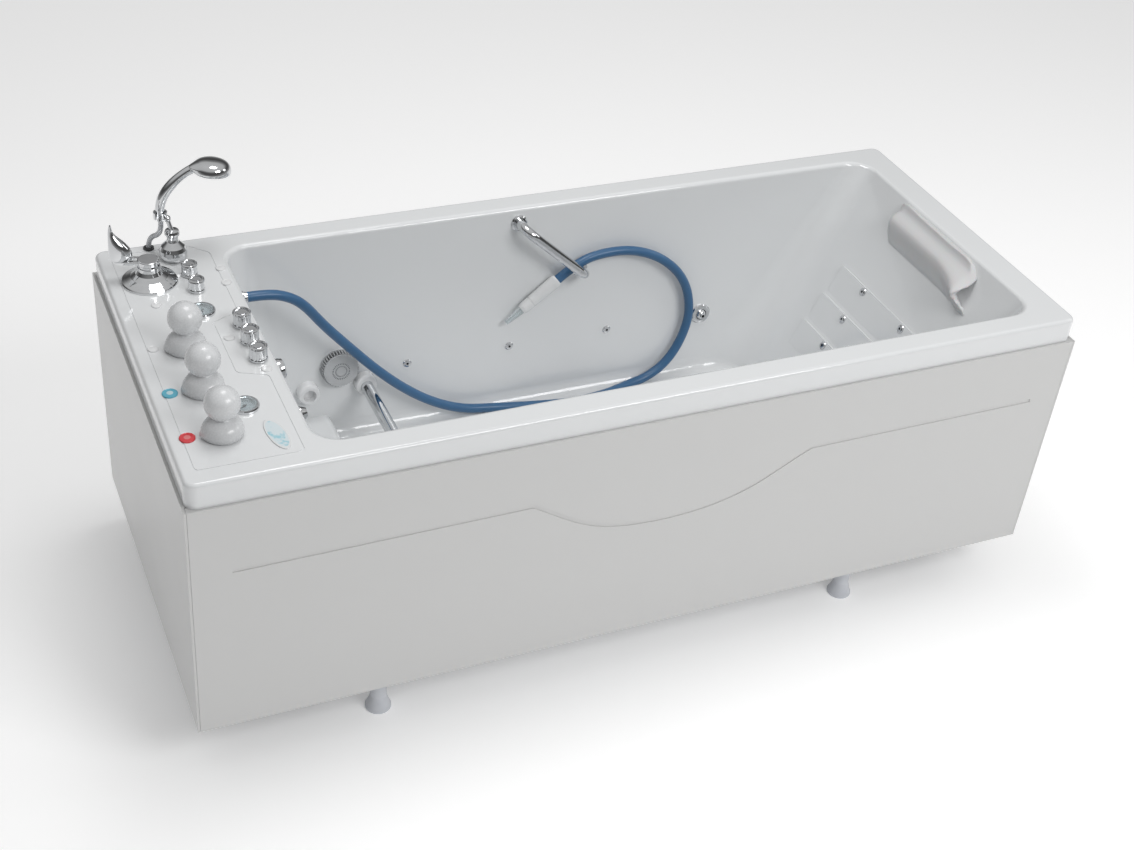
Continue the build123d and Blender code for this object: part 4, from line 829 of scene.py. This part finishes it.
def handleForm(look, y):
    # bell profile turned about an upright axis, then a ball whose lower part starts in the bell's
    # neck; the nose adds to the radius where the angle is near its own, most at the foot, none at the neck
    bell = throughPoints(look["bell"], 54)
    neck = bell[-1, 0]
    low = -math.acos(neck / look["ballRadius"])
    lift = np.linspace(low, math.pi / 2, 46)[1:]
    ball = np.c_[look["ballRadius"] * np.cos(lift), look["ballHeight"] + look["ballRadius"] * np.sin(lift)]
    start = look["ballHeight"] + look["ballRadius"] * math.sin(low)
    bell[:, 1] *= start / bell[-1, 1]
    profile = np.vstack([bell, ball])
    radius, height = profile[:, 0][:, None], profile[:, 1][:, None]
    angle = np.linspace(0, 2 * math.pi, 97)[:-1][None, :]
    off = np.abs((angle - math.radians(look["noseTurn"]) + math.pi) % (2 * math.pi) - math.pi)
    point = np.exp(-off / look["noseWidth"]) * np.clip(1 - height / 0.044, 0, 1) * np.clip(radius / 0.03, 0, 1)
    wide = radius + look["nose"] * point
    return np.stack([look["x"] + wide * np.cos(angle), y + wide * np.sin(angle),
                     look["deck"] + height + 0 * angle], -1)


def makeHandles(look):
    for node, (y, body) in look["rows"].items():
        piece = gridMesh(node + "Skin", handleForm(look, y), closeV=True)
        tidyMesh(piece)
        piece.data.shade_smooth()
        wears(piece, "handle_plastic", body, node)


makeHandles(valveHandle)
print("diverter handles are turned")

# Hand shower

handShower = {
    "path": [(-0.899, 0.390, 0.878), (-0.899, 0.390, 0.900), (-0.8985, 0.390, 0.912),
             (-0.893, 0.3895, 0.932), (-0.883, 0.389, 0.950), (-0.870, 0.3883, 0.966),
             (-0.855, 0.3875, 0.980), (-0.839, 0.3866, 0.9915), (-0.826, 0.3858, 0.9985)],
    "sizes": [0.0084, 0.0098, 0.0104, 0.0112, 0.0116, 0.0112, 0.0104, 0.0100, 0.0104],
    "gripRows": 90,
    "headRows": 70,
    "head": (-0.780, 0.385, 0.997),
    "headX": (1.0, 0.0, -0.12),
    "headZ": (0.12, 0.10, 1.0),
    "headTop": [(0.0, 0.0206), (0.010, 0.0202), (0.020, 0.0188), (0.029, 0.0160), (0.036, 0.0115),
                (0.0405, 0.0050), (0.0428, -0.0035), (0.0425, -0.0085), (0.0405, -0.0112), (0.0385, -0.0118),
                (0.0380, -0.0108)],
}


def frameAlong(path):
    # two unit directions square to a line and to each other, found from the line's own steps
    ahead = np.gradient(path, axis=0)
    ahead /= np.linalg.norm(ahead, axis=1, keepdims=True)
    side = np.cross(ahead, (0.0, 1.0, 0.0))
    side /= np.linalg.norm(side, axis=1, keepdims=True)
    return side, np.cross(ahead, side)


def handsetForms(look):
    # the grip is a circle carried along a smooth line, its size changing on the way and flattening
    # as it enters the head; the head is a dish profile turned about the head's own axis, drawn out
    # towards the grip on that side
    path = throughPoints(look["path"], look["gripRows"])
    size = throughPoints([(v, 0) for v in look["sizes"]], look["gripRows"])[:, 0]
    side, other = frameAlong(path)
    angle = np.linspace(0, 2 * math.pi, 41)[:-1]
    grip = (path[:, None, :] + size[:, None, None] * (np.cos(angle)[None, :, None] * side[:, None, :]
                                                      + np.sin(angle)[None, :, None] * other[:, None, :]))
    z = np.array(look["headZ"]) / np.linalg.norm(look["headZ"])
    x = np.array(look["headX"])
    x = x - z * (x @ z)
    x /= np.linalg.norm(x)
    y = np.cross(z, x)
    profile = throughPoints(look["headTop"], look["headRows"])
    turn = np.linspace(0, 2 * math.pi, 121)[:-1]
    off = np.abs((turn + 2 * math.pi) % (2 * math.pi) - math.pi)
    pull = 0.012 * np.exp(-(off / 0.42) ** 2)[None, :] * np.clip(profile[:, :1] / 0.04, 0, 1) ** 3
    wide = profile[:, :1] + pull * np.clip(1 - np.abs(profile[:, 1:] - 0.002) / 0.012, 0, 1)
    head = (np.array(look["head"]) + wide[..., None] * (np.cos(turn)[None, :, None] * x
                                                        + np.sin(turn)[None, :, None] * y)
            + profile[:, 1][:, None, None] * z)
    return grip, head


def makeHandset(look):
    grip, head = handsetForms(look)
    first = gridMesh("showerGrip", grip, closeV=True, caps=(0, look["gripRows"] - 1))
    second = gridMesh("showerHead", head, closeV=True, caps=(look["headRows"] - 1,))
    for piece in (first, second):
        tidyMesh(piece)
        piece.data.shade_smooth()
        wears(piece, "chrome", "hand_shower")
    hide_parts("shower_handset")


makeHandset(handShower)
print("hand shower is shaped")

# Painted shade in the jets: black bowls set in the jet holes, which are dark only from shade

jetShadeBowls = {
    "wall": (0.34649, 0.407),       # Y and Z of the side jets
    "wallLean": 5.0,                # degrees that their axes point up
    "sideX": (-0.321, -0.045, 0.231),
    "rest": [(0.83057, 0.57603), (0.78490, 0.50003), (0.74044, 0.42603)],
    "restY": 0.090,
    "restLean": 26.04,
    "smallRadius": 0.0031,
    "depth": 0.0036,                # the mouth of each painted-shade bowl lies this far out of the wall
    "cup": [(0.0, -0.0060), (0.4, -0.0056), (0.8, -0.0036), (0.97, -0.0006), (1.0, 0.0)],
}


def shadeBowlForm(place, lean, side, look):
    # a shallow black bowl of painted shade, turned about the jet's own axis, which leans up by "lean" degrees
    a = math.radians(lean)
    axis = np.array(side, float) * math.cos(a) + np.array([0, 0, math.sin(a)])
    across = np.cross(axis, (0.0, 0.0, 1.0))
    across /= np.linalg.norm(across)
    up = np.cross(across, axis)
    bowl = throughPoints(look["cup"], 24)
    turn = np.linspace(0, 2 * math.pi, 33)[:-1]
    wide = bowl[:, :1] * look["smallRadius"]
    ring = wide[..., None] * (np.cos(turn)[None, :, None] * across + np.sin(turn)[None, :, None] * up)
    inner = np.array(place) + ring + (look["depth"] + bowl[:, 1])[:, None, None] * axis
    return np.concatenate([inner, inner[::-1] - 0.0006 * axis], 0)


def makeShadeBowls(look):
    places = [((x, s * look["wall"][0], look["wall"][1]), look["wallLean"], (0, -s, 0))
              for s in (1, -1) for x in look["sideX"]]
    places += [((x, s * look["restY"], z), look["restLean"], (-1, 0, 0))
               for x, z in look["rest"] for s in (1, -1)]
    for number, (place, lean, side) in enumerate(places, 1):
        piece = gridMesh(f"jetShadeBowl{number}", shadeBowlForm(place, lean, side, look), closeV=True)
        tidyMesh(piece)
        piece.data.shade_smooth()
        # the needles' near-black finish paints the shade inside each jet hole
        wears(piece, "needle", "tub")


makeShadeBowls(jetShadeBowls)
print("jet throats are set")
